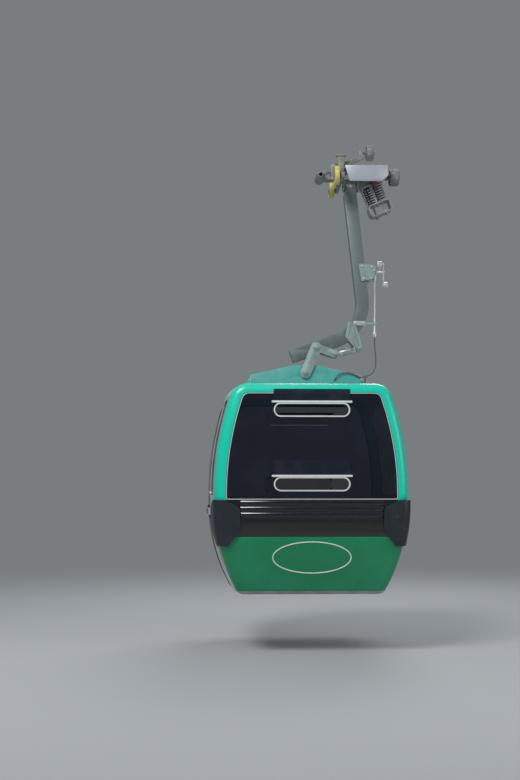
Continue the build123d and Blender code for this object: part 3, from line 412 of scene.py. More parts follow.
silver_panel = finish("silver panel", (0.60, 0.63, 0.62), 0.42, 0.55)
patches(silver_panel, cloud(silver_panel, 3, 6), (0.45, 0.75), 0.35, (0.42, 0.44, 0.43))
patches(silver_panel, cloud(silver_panel, 12, 6, (2, 2, 0.16)), (0.55, 0.78), 0.4, (0.34, 0.34, 0.31))
rough(silver_panel, cloud(silver_panel, 40, 4, (1, 1, 6)), 0.30, 0.52)
relief(silver_panel, cloud(silver_panel, 300, 2, (1, 1, 5)), 0.00008)

floor_alloy = finish("floor tray", (0.46, 0.48, 0.47), 0.5, 0.6)
patches(floor_alloy, cloud(floor_alloy, 6, 8), (0.40, 0.70), 0.7, (0.22, 0.21, 0.18))
rough(floor_alloy, cloud(floor_alloy, 18), 0.45, 0.75)
relief(floor_alloy, cloud(floor_alloy, 90, 4), 0.0004)

painted = (green_paint, beam_teal, roof_alloy, silver_panel, floor_alloy)
print("painted", [paint.name for paint in painted])

# %% [markdown]
# ## Glass and rubber
# The panes are dark tinted acrylic. Light passes each face of a pane once, so the shader's alpha is set
# for one face, and two faces and two panes together hold back most of the light behind the cabin. A
# little haze and unevenness keep a pane from looking like a hole. Rubber is dull and greys in patches.

# %% Glass and rubber
tinted_glass = finish("tinted pane", (0.004, 0.007, 0.018), 0.06, Alpha=0.60, IOR=1.52)
patches(tinted_glass, cloud(tinted_glass, 4, 7), (0.48, 0.80), 0.14, (0.06, 0.09, 0.17))
rough(tinted_glass, cloud(tinted_glass, 3, 6), 0.03, 0.14)
relief(tinted_glass, cloud(tinted_glass, 1.6, 1), 0.0012)

tinted_flap = finish("tinted flap", (0.014, 0.020, 0.042), 0.08, Alpha=0.66, IOR=1.49)
patches(tinted_flap, cloud(tinted_flap, 9, 7), (0.45, 0.75), 0.25, (0.10, 0.11, 0.14))
rough(tinted_flap, cloud(tinted_flap, 5, 6), 0.05, 0.20)

seal_rubber = finish("seal rubber", (0.030, 0.031, 0.032), 0.72)
patches(seal_rubber, cloud(seal_rubber, 20, 7), (0.48, 0.78), 0.6, (0.13, 0.12, 0.11))
relief(seal_rubber, cloud(seal_rubber, 400, 3), 0.0002)

bumper_rubber = finish("bumper rubber", (0.015, 0.021, 0.029), 0.4)
patches(bumper_rubber, cloud(bumper_rubber, 7, 8), (0.48, 0.75), 0.5, (0.034, 0.042, 0.052))
patches(bumper_rubber, cloud(bumper_rubber, 60, 8, (1, 1, 0.4)), (0.64, 0.76), 0.5, (0.12, 0.125, 0.125))
rough(bumper_rubber, cloud(bumper_rubber, 16), 0.28, 0.55)
relief(bumper_rubber, cloud(bumper_rubber, 320, 4), 0.00025)

print("panes", tinted_glass.name, tinted_flap.name, "rubbers", seal_rubber.name, bumper_rubber.name)

# %% [markdown]
# ## Plastics
# The belt is glossy over its ribs and duller below them, so a second colour comes in by height: the
# dull band's own dark tone, tinted olive as a painted reflection of the ground. Trim and seats are
# moulded in their colour, and the treads of the rollers are worn pale in patches.

# %% Plastics
# Below the ribs, the dull band's own dark tone with a painted olive reflection of the ground.
BELT_DULL_BAND_AND_REFLECTION_Z = (-3.525, -3.54)  # glossy ribs above, a dull band below

belt_black = finish("belt gloss", (0.003, 0.0045, 0.008), 0.16, Coat_Weight=0.6, Coat_Roughness=0.05)
over(belt_black, height(belt_black, *BELT_DULL_BAND_AND_REFLECTION_Z), (0.011, 0.013, 0.009))
patches(belt_black, cloud(belt_black, 9, 7, (1, 1, 2)), (0.52, 0.80), 0.22, (0.030, 0.032, 0.028))
dusted(belt_black, cloud(belt_black, 25), (0.35, 0.7), 0.5, (0.16, 0.16, 0.15))
rough(belt_black, cloud(belt_black, 10, 6), 0.08, 0.30)
relief(belt_black, cloud(belt_black, 2.2, 2), 0.0010)

white_trim = finish("white trim", (0.78, 0.79, 0.77), 0.38)
patches(white_trim, cloud(white_trim, 16, 7), (0.50, 0.78), 0.5, (0.48, 0.45, 0.38))
relief(white_trim, cloud(white_trim, 240, 2), 0.0001)

bench_grey = finish("bench shell", (0.20, 0.22, 0.24), 0.42)
patches(bench_grey, cloud(bench_grey, 8, 7), (0.5, 0.8), 0.5, (0.30, 0.31, 0.32))
relief(bench_grey, cloud(bench_grey, 350, 3), 0.0003)

roller_grey = finish("roller tread", (0.17, 0.175, 0.18), 0.6)
patches(roller_grey, cloud(roller_grey, 35, 7), (0.42, 0.70), 0.7, (0.36, 0.37, 0.37))
relief(roller_grey, cloud(roller_grey, 160, 4), 0.0005)

roller_yellow = finish("roller nylon", (0.66, 0.60, 0.17), 0.48)
patches(roller_yellow, cloud(roller_yellow, 28, 7), (0.48, 0.74), 0.7, (0.36, 0.30, 0.12))
relief(roller_yellow, cloud(roller_yellow, 200, 3), 0.0003)

plastics = (belt_black, white_trim, bench_grey, roller_grey, roller_yellow)
print("plastics", [plastic.name for plastic in plastics])

# %% [markdown]
# ## Zinc and bright metal
# Hot zinc sets in crystals about a centimetre across, each a slightly different grey. Years of weather
# turn it dull, with darker runs where water leaves it and specks of rust. Small brackets stay paler than
# the arm, and what rubs stays bright.

# %% Zinc and bright metal
galvanised = finish("galvanised steel", (0.155, 0.19, 0.20), 0.5, 0.45)
patches(galvanised, crystals(galvanised, 90), (0.1, 0.9), 0.40, (0.26, 0.30, 0.31))
patches(galvanised, cloud(galvanised, 5, 7, (1.4, 1.4, 0.35)), (0.50, 0.75), 0.75, (0.095, 0.115, 0.12))
patches(galvanised, cloud(galvanised, 45, 8), (0.66, 0.78), 0.8, (0.24, 0.14, 0.08))
rough(galvanised, cloud(galvanised, 14), 0.38, 0.66)
relief(galvanised, cloud(galvanised, 120, 5), 0.0004)

pale_zinc = finish("pale zinc", (0.30, 0.40, 0.38), 0.48, 0.35)
patches(pale_zinc, crystals(pale_zinc, 110), (0.1, 0.9), 0.35, (0.44, 0.54, 0.52))
patches(pale_zinc, cloud(pale_zinc, 9, 7), (0.52, 0.76), 0.55, (0.16, 0.20, 0.19))
rough(pale_zinc, cloud(pale_zinc, 16), 0.35, 0.62)
relief(pale_zinc, cloud(pale_zinc, 130, 5), 0.0003)

bright_steel = finish("bright steel", (0.62, 0.64, 0.64), 0.36, 0.5)
patches(bright_steel, cloud(bright_steel, 26, 7), (0.52, 0.75), 0.7, (0.25, 0.22, 0.19))
rough(bright_steel, cloud(bright_steel, 50, 5, (1, 1, 0.3)), 0.22, 0.5)

damper_silver = finish("damper tube", (0.50, 0.51, 0.52), 0.35, 0.8)
patches(damper_silver, cloud(damper_silver, 30, 7), (0.50, 0.75), 0.7, (0.20, 0.19, 0.19))
rough(damper_silver, cloud(damper_silver, 22), 0.25, 0.5)

zincs = (galvanised, pale_zinc, bright_steel, damper_silver)
print("zinc and bright metal", [metal.name for metal in zincs])

# %% [markdown]
# ## Metals of the grip
# Castings are rough and rust through their paint, the friction plate is worn bright along its run, and
# the springs are dipped in black enamel. The sheath of the cables is kept here too.

# %% Metals of the grip
grip_casting = finish("grip casting", (0.30, 0.31, 0.31), 0.6, 0.5)
patches(grip_casting, cloud(grip_casting, 12, 8), (0.42, 0.70), 0.7, (0.16, 0.155, 0.14))
patches(grip_casting, cloud(grip_casting, 55, 8), (0.60, 0.75), 0.8, (0.30, 0.17, 0.09))
relief(grip_casting, cloud(grip_casting, 150, 6), 0.0010)

plate_alloy = finish("friction plate", (0.56, 0.60, 0.66), 0.4, 0.5)
patches(plate_alloy, cloud(plate_alloy, 7, 7), (0.50, 0.78), 0.5, (0.38, 0.40, 0.43))
rough(plate_alloy, cloud(plate_alloy, 30, 5, (5, 0.3, 1)), 0.28, 0.5)

post_olive = finish("olive post", (0.24, 0.25, 0.19), 0.6)
patches(post_olive, cloud(post_olive, 18, 7), (0.45, 0.72), 0.7, (0.36, 0.35, 0.29))
relief(post_olive, cloud(post_olive, 130, 5), 0.0006)

spring_black = finish("spring enamel", (0.020, 0.021, 0.022), 0.42)
patches(spring_black, cloud(spring_black, 70, 7), (0.55, 0.75), 0.8, (0.16, 0.10, 0.06))
relief(spring_black, cloud(spring_black, 260, 4), 0.0004)

yoke_zinc = finish("zinc plate", (0.40, 0.41, 0.40), 0.5, 0.6)
patches(yoke_zinc, cloud(yoke_zinc, 24, 7), (0.48, 0.72), 0.8, (0.21, 0.16, 0.11))
relief(yoke_zinc, cloud(yoke_zinc, 160, 5), 0.0005)

rusty_steel = finish("rusty steel", (0.17, 0.075, 0.035), 0.75)
patches(rusty_steel, cloud(rusty_steel, 60, 7), (0.42, 0.70), 1.0, (0.09, 0.045, 0.03))
cable_black = finish("cable sheath", (0.085, 0.100, 0.095), 0.5)

grip_metals = (grip_casting, plate_alloy, post_olive, spring_black, yoke_zinc, rusty_steel)
print("metals of the grip", [metal.name for metal in grip_metals], "and", cable_black.name)

# %% [markdown]
# ## A finish for each node
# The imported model's record names a material slot for every node. One dictionary from slot to finish
# gives each node its material, and new pieces are given theirs from it later.

# %% Finish by slot
finishes = {
    "green_paint": green_paint,
    "beam_teal": beam_teal,
    "roof_alloy": roof_alloy,
    "silver_panel": silver_panel,
    "floor_alloy": floor_alloy,
    "tinted_glass": tinted_glass,
    "tinted_flap": tinted_flap,
    "seal_rubber": seal_rubber,
    "bumper_rubber": bumper_rubber,
    "belt_black": belt_black,
    "white_trim": white_trim,
    "bench_grey": bench_grey,
    "roller_grey": roller_grey,
    "roller_yellow": roller_yellow,
    "galvanised": galvanised,
    "bright_steel": bright_steel,
    "damper_silver": damper_silver,
    "grip_casting": grip_casting,
    "plate_alloy": plate_alloy,
    "post_olive": post_olive,
    "spring_black": spring_black,
    "yoke_zinc": yoke_zinc,
    "cable_black": cable_black,
}
slot_of = {row["node"]: row["material_slot"] for row in frame["record"]["subparts"]}
body_of = {node: body for body, nodes in frame["record"]["behaviour"]["bodies"].items() for node in nodes}
for name, node in frame["nodes"].items():
    node.data.materials.clear()
    node.data.materials.append(finishes[slot_of[name]])
print("finishes", len(finishes))

# %% [markdown]
# ## Softened edges
# No real edge is perfectly sharp. A plate's edge is broken with a file, and a moulding comes out of its
# mould with a radius, and each catches a thin line of light. The CAD node's triangles are merged back
# into faces on a copy, its sharp edges get a small bevel, and the copy stands for the node.

# %% Softened edges
SHARP = radians(32)  # an edge that turns more than this gets a bevel
FLAT = radians(0.3)  # triangles that turn less than this become one face
SAME_POINT = 0.00002  # corners nearer than this are one
WIDE_BEVEL = 10  # millimetres, from where a bevel has twice the segments
BEVELS = {  # millimetres, by finish
    "green_paint": 3.0,
    "silver_panel": 2.0,
    "roof_alloy": 3.0,
    "floor_alloy": 3.0,
    "seal_rubber": 3.0,
    "bumper_rubber": 15.0,
    "belt_black": 2.0,
    "white_trim": 2.0,
    "bench_grey": 6.0,
    "beam_teal": 4.0,
    "galvanised": 2.5,
    "bright_steel": 1.5,
    "damper_silver": 2.0,
    "grip_casting": 4.0,
    "plate_alloy": 2.0,
    "post_olive": 3.0,
    "yoke_zinc": 2.0,
    "roller_grey": 3.0,
    "roller_yellow": 3.0,
}
# Galvanised pieces that are paler than the arm
PALE = ("sway_links", "damper_bracket", "door_bracket", "rod_guide", "roof_brackets")


def new_object(name, data):
    """New object in the scene, active and the only one selected."""
    deselect()
    made = bpy.data.objects.new(name, data)
    bpy.context.collection.objects.link(made)
    made.select_set(True)
    bpy.context.view_layer.objects.active = made
    return made


def bevelled(piece, width, segments):
    """Break the sharp edges of the active piece and shade the rest smooth."""
    if width:
        edges = piece.modifiers.new("edges", "BEVEL")
        edges.width = width
        edges.segments = segments
        edges.limit_method = "ANGLE"
        edges.angle_limit = SHARP
        bpy.ops.object.modifier_apply(modifier=edges.name)
    bpy.ops.object.shade_smooth_by_angle(angle=SHARP)


def softened(name):
    """Copy of a CAD node with merged faces and bevelled edges, which stands for it."""
    slot = slot_of[name]
    piece = new_object(name + "_finished", frame["nodes"][name].data.copy())
    bpy.ops.object.mode_set(mode="EDIT")
    bpy.ops.mesh.select_all(action="SELECT")
    bpy.ops.mesh.remove_doubles(threshold=SAME_POINT)
    bpy.ops.mesh.dissolve_limited(angle_limit=FLAT)
    bpy.ops.object.mode_set(mode="OBJECT")
    bevelled(piece, BEVELS[slot] / 1000, 4 if BEVELS[slot] > WIDE_BEVEL else 2)
    piece.data.materials.clear()
    piece.data.materials.append(pale_zinc if name in PALE else finishes[slot])
    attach(piece, body_of[name])
    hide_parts(name)
    return piece


softened_pieces = [softened(name) for name in sorted(frame["nodes"]) if slot_of[name] in BEVELS]
print("softened", len(softened_pieces), "faces", sum(len(piece.data.polygons) for piece in softened_pieces))

# %% [markdown]
# ## A kit for small parts
# Each bolt or pad could be an object of its own, but hundreds of objects are slow to move about. So a
# group of them is one mesh: primitives are added to it in edit mode, and then they are bevelled together.

# %% Small parts kit
ROUND = 36  # sides of a wide round bar


def open_piece(name):
    """New empty mesh in edit mode, ready for primitives."""
    piece = new_object(name, bpy.data.meshes.new(name))
    bpy.ops.object.mode_set(mode="EDIT")
    return piece


def close_piece(piece, body, slot, bevel=0.0008, segments=2):
    """Soften what was added, give it its finish and let it ride on its body."""
    if piece.mode == "EDIT":
        bpy.ops.object.mode_set(mode="OBJECT")
    bevelled(piece, bevel, segments)
    piece.data.materials.clear()
    piece.data.materials.append(finishes[slot])
    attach(piece, body)
    print(piece.name, "on", body, "faces", len(piece.data.polygons))
    return piece


def rod(start, end, radius, sides):
    """Round bar from one point to another; with six sides it is a hexagon."""
    start, end = Vector(start), Vector(end)
    bpy.ops.mesh.primitive_cylinder_add(
        vertices=sides,
        radius=radius,
        depth=(end - start).length,
        location=(start + end) / 2,
        rotation=(end - start).to_track_quat("Z", "Y").to_euler(),
    )


def slab(middle, size, rotation=(0, 0, 0)):
    """Box by its middle and its three sizes."""
    bpy.ops.mesh.primitive_cube_add(size=1, location=middle, rotation=rotation, scale=size)


# %% [markdown]
# ## Bolts and screws
# A bolt shows its washer, its hexagon head and the end of its thread. All three grow with the thread, so
# one table of shares draws a bolt of any size. A screw in thin sheet shows only a low round head.

# %% Bolts and screws
BOLT_STEPS = [  # from, to and radius as shares of the thread, and sides
    (0.0, 0.2, 1.2, 20),  # washer
    (0.1, 0.9, 0.95, 6),  # head
    (0.5, 1.2, 0.5, 16),  # end of the thread
]
DOME = 0.45  # height of a screw head as a share of its radius


def bolt(place, out, thread):
    """Washer, hexagon head and thread end, standing out from a face; thread is its diameter."""
    place, out = Vector(place), Vector(out).normalized()
    for start, end, radius, sides in BOLT_STEPS:
        rod(place + start * thread * out, place + end * thread * out, radius * thread, sides)


def dome_screw(place, out, radius):
    """Low round screw head, half sunk in a face."""
    place, out = Vector(place), Vector(out).normalized()
    bpy.ops.mesh.primitive_uv_sphere_add(
        segments=12,
        ring_count=6,
        radius=radius,
        location=place,
        rotation=out.to_track_quat("Z", "Y").to_euler(),
        scale=(1, 1, DOME),
    )


# %% [markdown]
# ## Beads and plates from curves
# A rubber bead is a line with a round profile, and a cut plate is an outline with a thickness. Blender's
# curves hold both, so the points stay readable, and the finished curve is made a mesh.


# %% Beads and plates
def drawn(curve, points, closed):
    """Object for a curve of straight steps through points, ready for operators."""
    spline = curve.splines.new("POLY")
    spline.points.add(len(points) - 1)
    for knot, point in zip(spline.points, points):
        knot.co = (*point, 1)
    spline.use_cyclic_u = closed
    return new_object(curve.name, curve)


def strand(name, points, radius, body, slot, closed=False):
    """Round bead or cord along points."""
    line = bpy.data.curves.new(name, "CURVE")
    line.dimensions = "3D"
    line.bevel_depth = radius
    line.bevel_resolution = 2
    line.use_fill_caps = not closed
    drawn(line, points, closed)
    bpy.ops.object.convert(target="MESH")
    return close_piece(bpy.context.object, body, slot, bevel=0)


def filled(name, outline, level, body, slot):
    """Flat plate with an outline in X and Z, between two places in Y."""
    sheet = bpy.data.curves.new(name, "CURVE")
    sheet.dimensions = "2D"
    sheet.fill_mode = "BOTH"
    sheet.extrude = (level[1] - level[0]) / 2
    plate = drawn(sheet, [(x, z, 0) for x, z in outline], closed=True)
    plate.rotation_euler = (radians(90), 0, 0)
    plate.location = (0, sum(level) / 2, 0)
    bpy.ops.object.convert(target="MESH")
    bpy.ops.object.transform_apply()
    return close_piece(bpy.context.object, body, slot)


# %% [markdown]
# ## Finding surfaces
# A fitting has to sit on its piece even if the CAD model changes. A ray sent at a node tells where its
# skin is and which way it faces, and a search tree of each node's faces makes a ray quick.

# %% Rays
FRONT, BACK, LEFT, RIGHT, UP, DOWN = (0, -1, 0), (0, 1, 0), (-1, 0, 0), (1, 0, 0), (0, 0, 1), (0, 0, -1)
CABIN_X = sum(corner[0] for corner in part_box("floor_pan")) / 2


def placed_shape(name):
    """A node's mesh in the frame's coordinates, for bmesh."""
    shape = bmesh.new()
    shape.from_mesh(frame["nodes"][name].data)
    shape.transform(frame["nodes"][name].matrix_world)
    return shape


skins = {}
for name in frame["nodes"]:
    shape = placed_shape(name)
    skins[name] = BVHTree.FromBMesh(shape)
    shape.free()


def touch(names, start, direction):
    """Nearest point where a ray meets any of the named nodes, and the surface's normal there."""
    start, direction = Vector(start), Vector(direction).normalized()
    hits = [skins[name].ray_cast(start, direction) for name in names]
    hits = [(distance, point, normal) for point, normal, _, distance in hits if point]
    _, point, normal = min(hits, key=lambda hit: hit[0])
    return point, normal


print("skins", len(skins), "cabin middle", round(CABIN_X, 3))

# %% [markdown]
# ## Finding rims
# A gasket lies along the rim of its pane. The sharp edges of a node that border on a face towards the
# asked side are followed one after another, and each run of them is a loop of points.

# %% Rims
RIM_ANGLE = radians(60)  # an edge of a rim turns more than this
RIM_FACING = 0.6  # how much one of its faces looks the asked way
RIM_SPACING = 0.006
RIM_POINTS = 8  # a loop with no more points than this is left out


def rims(name, towards):
    """Loops of sharp edges on the side of a node that faces a direction, longest first."""
    shape = placed_shape(name)
    bmesh.ops.remove_doubles(shape, verts=shape.verts, dist=SAME_POINT)
    towards = Vector(towards)
    beside = {}
    for edge in shape.edges:
        if len(edge.link_faces) == 2 and edge.calc_face_angle() > RIM_ANGLE:
            if max(face.normal.dot(towards) for face in edge.link_faces) > RIM_FACING:
                first, second = edge.verts
                beside.setdefault(first, []).append(second)
                beside.setdefault(second, []).append(first)
    loops = []
    while beside:
        corner = next(iter(beside))
        loop = []
        while corner is not None:
            loop.append(corner.co.copy())
            neighbours = beside.pop(corner)
            corner = next((other for other in neighbours if other in beside), None)
        kept = loop[:1]
        for point in loop[1:]:
            if (point - kept[-1]).length > RIM_SPACING:
                kept.append(point)
        if len(kept) > RIM_POINTS:
            loops.append(kept)
    shape.free()
    return sorted(loops, key=lambda loop: -sum((b - a).length for a, b in zip(loop, loop[1:])))


# %% [markdown]
# ## Pins of the hanger
# The links under the arm turn on thick pins, each with a washer, a nut and the pin's end standing out.
# They are turned parts, so short cylinders in a row say it all, the nut's with six sides. The bolts
# through the elbow and the damper find the face they sit on by a ray.

# %% Hanger pins
LINK_PINS = [(-0.040, -1.756), (-0.150, -2.015)]  # X and Z
ELBOW_PIN = (0.155, -1.821)
DAMPER_PIN = (0.407, -1.763)
PIN_THREAD = 0.020
PIN_RAY = 1  # where the rays start, to either side of the middle plane
LINK_FACE = 0.073  # outer faces of the link plates, from the middle plane
PIN_FACE = 0.085  # ends of their pins
PIN_STEPS = [  # from, to, radius, sides
    (LINK_FACE, LINK_FACE + 0.005, 0.040, 32),  # washer
    (LINK_FACE, PIN_FACE + 0.006, 0.026, 6),  # nut
    (PIN_FACE, PIN_FACE + 0.012, 0.012, 20),  # end of the pin
]

pins = open_piece("hanger_pins")
for side in (-1, 1):
    for x, z in LINK_PINS:
        for start, end, radius, sides in PIN_STEPS:
            rod((x, side * start, z), (x, side * end, z), radius, sides)
    for x, z in (ELBOW_PIN, DAMPER_PIN):
        point, _ = touch(["sway_links", "damper_bracket"], (x, side * PIN_RAY, z), (0, -side, 0))
        bolt(point, (0, side, 0), PIN_THREAD)
close_piece(pins, "hanger", "galvanised")
pins.data.materials[0] = pale_zinc

# %% [markdown]
# ## Cover and strap on the arm
# A zinc plate in front of the arm covers the door linkage, and a strap on both faces of the arm holds
# the guide of the door rod. The plate's outline slants on every side, so it is drawn as a filled curve,
# while the strap's two halves are plain slabs.

# %% Cover and strap
ARM_FACE = 0.055  # front and back of the arm, from the middle plane
COVER_OUTLINE = [(0.396, -0.892), (0.556, -0.903), (0.578, -0.948), (0.545, -1.050), (0.425, -1.071)]
COVER_Y = (-0.067, -0.055)
COVER_BOLTS = [(0.430, -0.918), (0.535, -0.925), (0.452, -1.048), (0.525, -1.040), (0.553, -0.960)]
COVER_THREAD = 0.011
STRAP_X = (0.345, 0.470)
STRAP_THICK, STRAP_HEIGHT = 0.014, 0.046
STRAP_OUT = 0.006  # middle of each half, out from the arm's face
STRAP_BOLTS = (STRAP_X[0] + 0.018, STRAP_X[1] - 0.028)
STRAP_BOLTS_OUT = 0.012
STRAP_THREAD = 0.012

cover = filled("linkage_cover", COVER_OUTLINE, COVER_Y, "hanger", "galvanised")
cover.data.materials[0] = pale_zinc
strap_z = sum(corner[2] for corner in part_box("rod_guide")) / 2
linkage_bolts = open_piece("linkage_bolts")
for x, z in COVER_BOLTS:
    bolt((x, COVER_Y[0], z), FRONT, COVER_THREAD)
for side in (-1, 1):
    middle = (sum(STRAP_X) / 2, side * (ARM_FACE + STRAP_OUT), strap_z)
    slab(middle, (STRAP_X[1] - STRAP_X[0], STRAP_THICK, STRAP_HEIGHT))
for x in STRAP_BOLTS:
    for side in (-1, 1):
        bolt((x, side * (ARM_FACE + STRAP_BOLTS_OUT), strap_z), (0, side, 0), STRAP_THREAD)
close_piece(linkage_bolts, "hanger", "bright_steel")

# %% [markdown]
# ## The damper and its bracket
# The V bracket is a plate with a rounded flange along its edge. Its bars are CAD pieces, and their inner
# and outer rims give the web and the flange their outlines. The damper's tube gets its end rings and
# seams as short bars along its run.

# %% Damper and bracket
BAR_THICK = 0.009  # the bracket's bars stand this far out from the arm
WEB_GAP = 0.001
WEB_IN = 0.003  # how far the web lies behind the bars' faces
FLANGE_R = 0.005
RINGS = [  # share of the run from elbow to bracket, width, radius
    (0.24, 0.016, 0.039),
    (0.30, 0.005, 0.038),
    (0.62, 0.005, 0.038),
    (0.82, 0.018, 0.040),
]

for end, side in (("front", -1), ("rear", 1)):
    outer, inner = rims("damper_bracket", (0, side, 0))[:2]
    level = sorted((side * (ARM_FACE + WEB_GAP), side * (ARM_FACE + BAR_THICK - WEB_IN)))
    hole = [(point[0], point[2]) for point in inner]
    web = filled("bracket_web_" + end, hole, level, "hanger", "galvanised")
    flange = strand("bracket_flange_" + end, outer, FLANGE_R, "hanger", "galvanised", closed=True)
    web.data.materials[0] = flange.data.materials[0] = pale_zinc

elbow = Vector((ELBOW_PIN[0], 0, ELBOW_PIN[1]))
damper_run = Vector((DAMPER_PIN[0] - ELBOW_PIN[0], 0, DAMPER_PIN[1] - ELBOW_PIN[1]))
damper_rings = open_piece("damper_rings")
for share, width, radius in RINGS:
    middle = elbow + share * damper_run
    half = width / 2 * damper_run.normalized()
    rod(middle - half, middle + half, radius, ROUND)
close_piece(damper_rings, "hanger", "bright_steel")

# %% [markdown]
# ## The cable between hanger and cabin
# The cable from the door rod hangs down to a clip on the roof. When the cabin sways, its top stays with
# the hanger and its foot goes with the cabin. Here a copy of the CAD cable, shaded smooth, stands for
# it.

# %% Door cable
cable_mesh = frame["nodes"]["door_cable"].data.copy()
cable_mesh.transform(frame["nodes"]["door_cable"].matrix_world)
door_cable = new_object("door_cable_finished", cable_mesh)
bpy.ops.object.shade_smooth_by_angle(angle=SHARP)
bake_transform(door_cable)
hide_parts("door_cable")

# %% [markdown]
# ## Cap and rollers of the grip
# A rusty cap closes the pin above the springs. Each roller has a hub plate on both faces, held by four
# screws, and a nut on its outer end. The hubs ride on the rollers' own bodies, so they turn with them.

# %% Cap and rollers
CAP_PLACE = (0.551, -0.066)  # X and Z
CAP_RAY = -0.4  # where its ray starts, in front of the grip
CAP_STEPS = [(0.014, 0.030, ROUND), (0.022, 0.012, 6)]  # how far out, radius, sides
ROLLERS = {  # roller, hub radius, nut radius
    "coupling_roller": (0.038, 0.020),
    "running_roller": (0.042, 0.022),
    "guide_roller_front": (0.050, 0.018),
    "guide_roller_rear": (0.050, 0.018),
}
HUB_OUT = 0.004
HUB_SCREWS, HUB_SCREW_R = 4, 0.005
SCREW_RING = 0.72  # share of the hub's radius
FIRST_SCREW = 45  # degrees round the hub
ROLLER_NUT = 0.014

seat_point, _ = touch(["spring_yoke"], (CAP_PLACE[0], CAP_RAY, CAP_PLACE[1]), BACK)
cap = open_piece("spring_cap")
for out, radius, sides in CAP_STEPS:
    rod(seat_point, seat_point + out * Vector(FRONT), radius, sides)
close_piece(cap, "grip", "bright_steel")
cap.data.materials[0] = rusty_steel

for name, (hub, nut) in ROLLERS.items():
    low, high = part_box(name)
    y, z = (low[1] + high[1]) / 2, (low[2] + high[2]) / 2
    hubs = open_piece(name + "_hub")
    for face, out in ((low[0], -1), (high[0], 1)):
        plate_x = face + out * HUB_OUT
        rod((face, y, z), (plate_x, y, z), hub, ROUND)
        for turn in range(HUB_SCREWS):
            angle = radians(FIRST_SCREW + 360 / HUB_SCREWS * turn)
            place = (plate_x, y + SCREW_RING * hub * cos(angle), z + SCREW_RING * hub * sin(angle))
            dome_screw(place, (out, 0, 0), HUB_SCREW_R)
    rod((high[0], y, z), (high[0] + ROLLER_NUT, y, z), nut, 6)
    close_piece(hubs, body_of[name], "yoke_zinc")

# %% [markdown]
# ## Nuts and rivets of the grip
# The pin of the jaw lever and the pin that the hanger swings on end in nuts, on the grip and on the
# hanger's head. The friction plate is fixed by rows of low rivets near its ends.

# %% Nuts and rivets
NUTS = [  # body, node, place in X and Z, thread
    ("grip", "grip_body", (0.150, 0.105), 0.014),
    ("hanger", "hanger_arm", (0.320, -0.100), 0.018),
]
NUT_RAY = 0.15  # where the rays start, to either side of the middle plane
RIVETS_X, RIVETS_Y = (0.05, 0.16), 0.03  # in from the plate's ends and edges
RIVET_R = 0.007

for body, node, (x, z), thread in NUTS:
    nuts = open_piece(node + "_nuts")
    for side in (-1, 1):
        point, _ = touch([node], (x, side * NUT_RAY, z), (0, -side, 0))
        bolt(point, (0, side, 0), thread)
    close_piece(nuts, body, "yoke_zinc")

plate_low, plate_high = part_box("friction_plate")
left_rows = [plate_low[0] + inset for inset in RIVETS_X]
right_rows = [plate_high[0] - inset for inset in reversed(RIVETS_X)]
plate_rivets = open_piece("plate_rivets")
for x in left_rows + right_rows:
    for y in (plate_low[1] + RIVETS_Y, plate_high[1] - RIVETS_Y):
        dome_screw((x, y, plate_high[2]), UP, RIVET_R)
close_piece(plate_rivets, "grip", "bright_steel", bevel=0)

# %% [markdown]
# ## Fittings on the roof
# The beam stands on two feet, and bolts go down through each foot and sideways into the beam's ends. The
# roof skin is screwed down along both of its ends. Rays from above and from the sides find the place
# of each.

# %% Roof fittings
FOOT_X = 0.56  # inner edge of a foot, from the cabin's middle
FOOT_BOLTS_X, FOOT_BOLTS_Y = (0.035, 0.085), 0.055  # out from that edge, and from the middle plane
END_BOLTS_Y, END_BOLTS_Z = 0.032, (-2.085, -2.145)
BEAM_THREAD = 0.010
OVER_ROOF, BESIDE_BEAM = 0, 1.5  # where the rays start, in Z and from the cabin's middle
ROOF_SCREWS, ROOF_SCREW_PITCH = 9, 0.17
ROOF_SCREW_Y, ROOF_SCREW_R = 0.745, 0.008

feet = open_piece("roof_bolts")
for side in (-1, 1):
    for across in FOOT_BOLTS_X:
        for y in (-FOOT_BOLTS_Y, FOOT_BOLTS_Y):
            start = (CABIN_X + side * (FOOT_X + across), y, OVER_ROOF)
            bolt(touch(["roof_brackets"], start, DOWN)[0], UP, BEAM_THREAD)
    for y in (-END_BOLTS_Y, END_BOLTS_Y):
        for z in END_BOLTS_Z:
            start = (CABIN_X + side * BESIDE_BEAM, y, z)
            bolt(touch(["roof_brackets"], start, (-side, 0, 0))[0], (side, 0, 0), BEAM_THREAD)
close_piece(feet, "cabin", "bright_steel")

roof_screws = open_piece("roof_screws")
for y in (-ROOF_SCREW_Y, ROOF_SCREW_Y):
    for step in range(ROOF_SCREWS):
        x = CABIN_X + (step - ROOF_SCREWS // 2) * ROOF_SCREW_PITCH
        point, normal = touch(["roof_shell"], (x, y, OVER_ROOF), DOWN)
        dome_screw(point, normal, ROOF_SCREW_R)
close_piece(roof_screws, "cabin", "bright_steel", bevel=0)

# %% [markdown]
# ## Fittings on the ends
# A pale filler strip locks the black window gasket. The belt and the bumpers are screwed on. The lower
# panel carries an oval rim and is plain inside it. The rim's points are found by rays, because the panel
# curves both ways and a flat oval would sink into it.

# %% End fittings
END_RAY = 3  # where the rays start, out from the middle
FILLER_OUT, FILLER_R = 0.006, 0.0035
BUMPER_SCREW_X, BUMPER_SCREWS_Z, BUMPER_SCREW_R = 0.83, (-3.43, -3.60), 0.010
BELT_SCREWS_X, BELT_SCREW_Z, BELT_SCREW_R = (0.2, 0.62), -3.64, 0.007
OVAL_HALF = (0.375, 0.150)
OVAL_Z = -3.865
OVAL_STEPS, OVAL_RIM_R = 96, 0.006

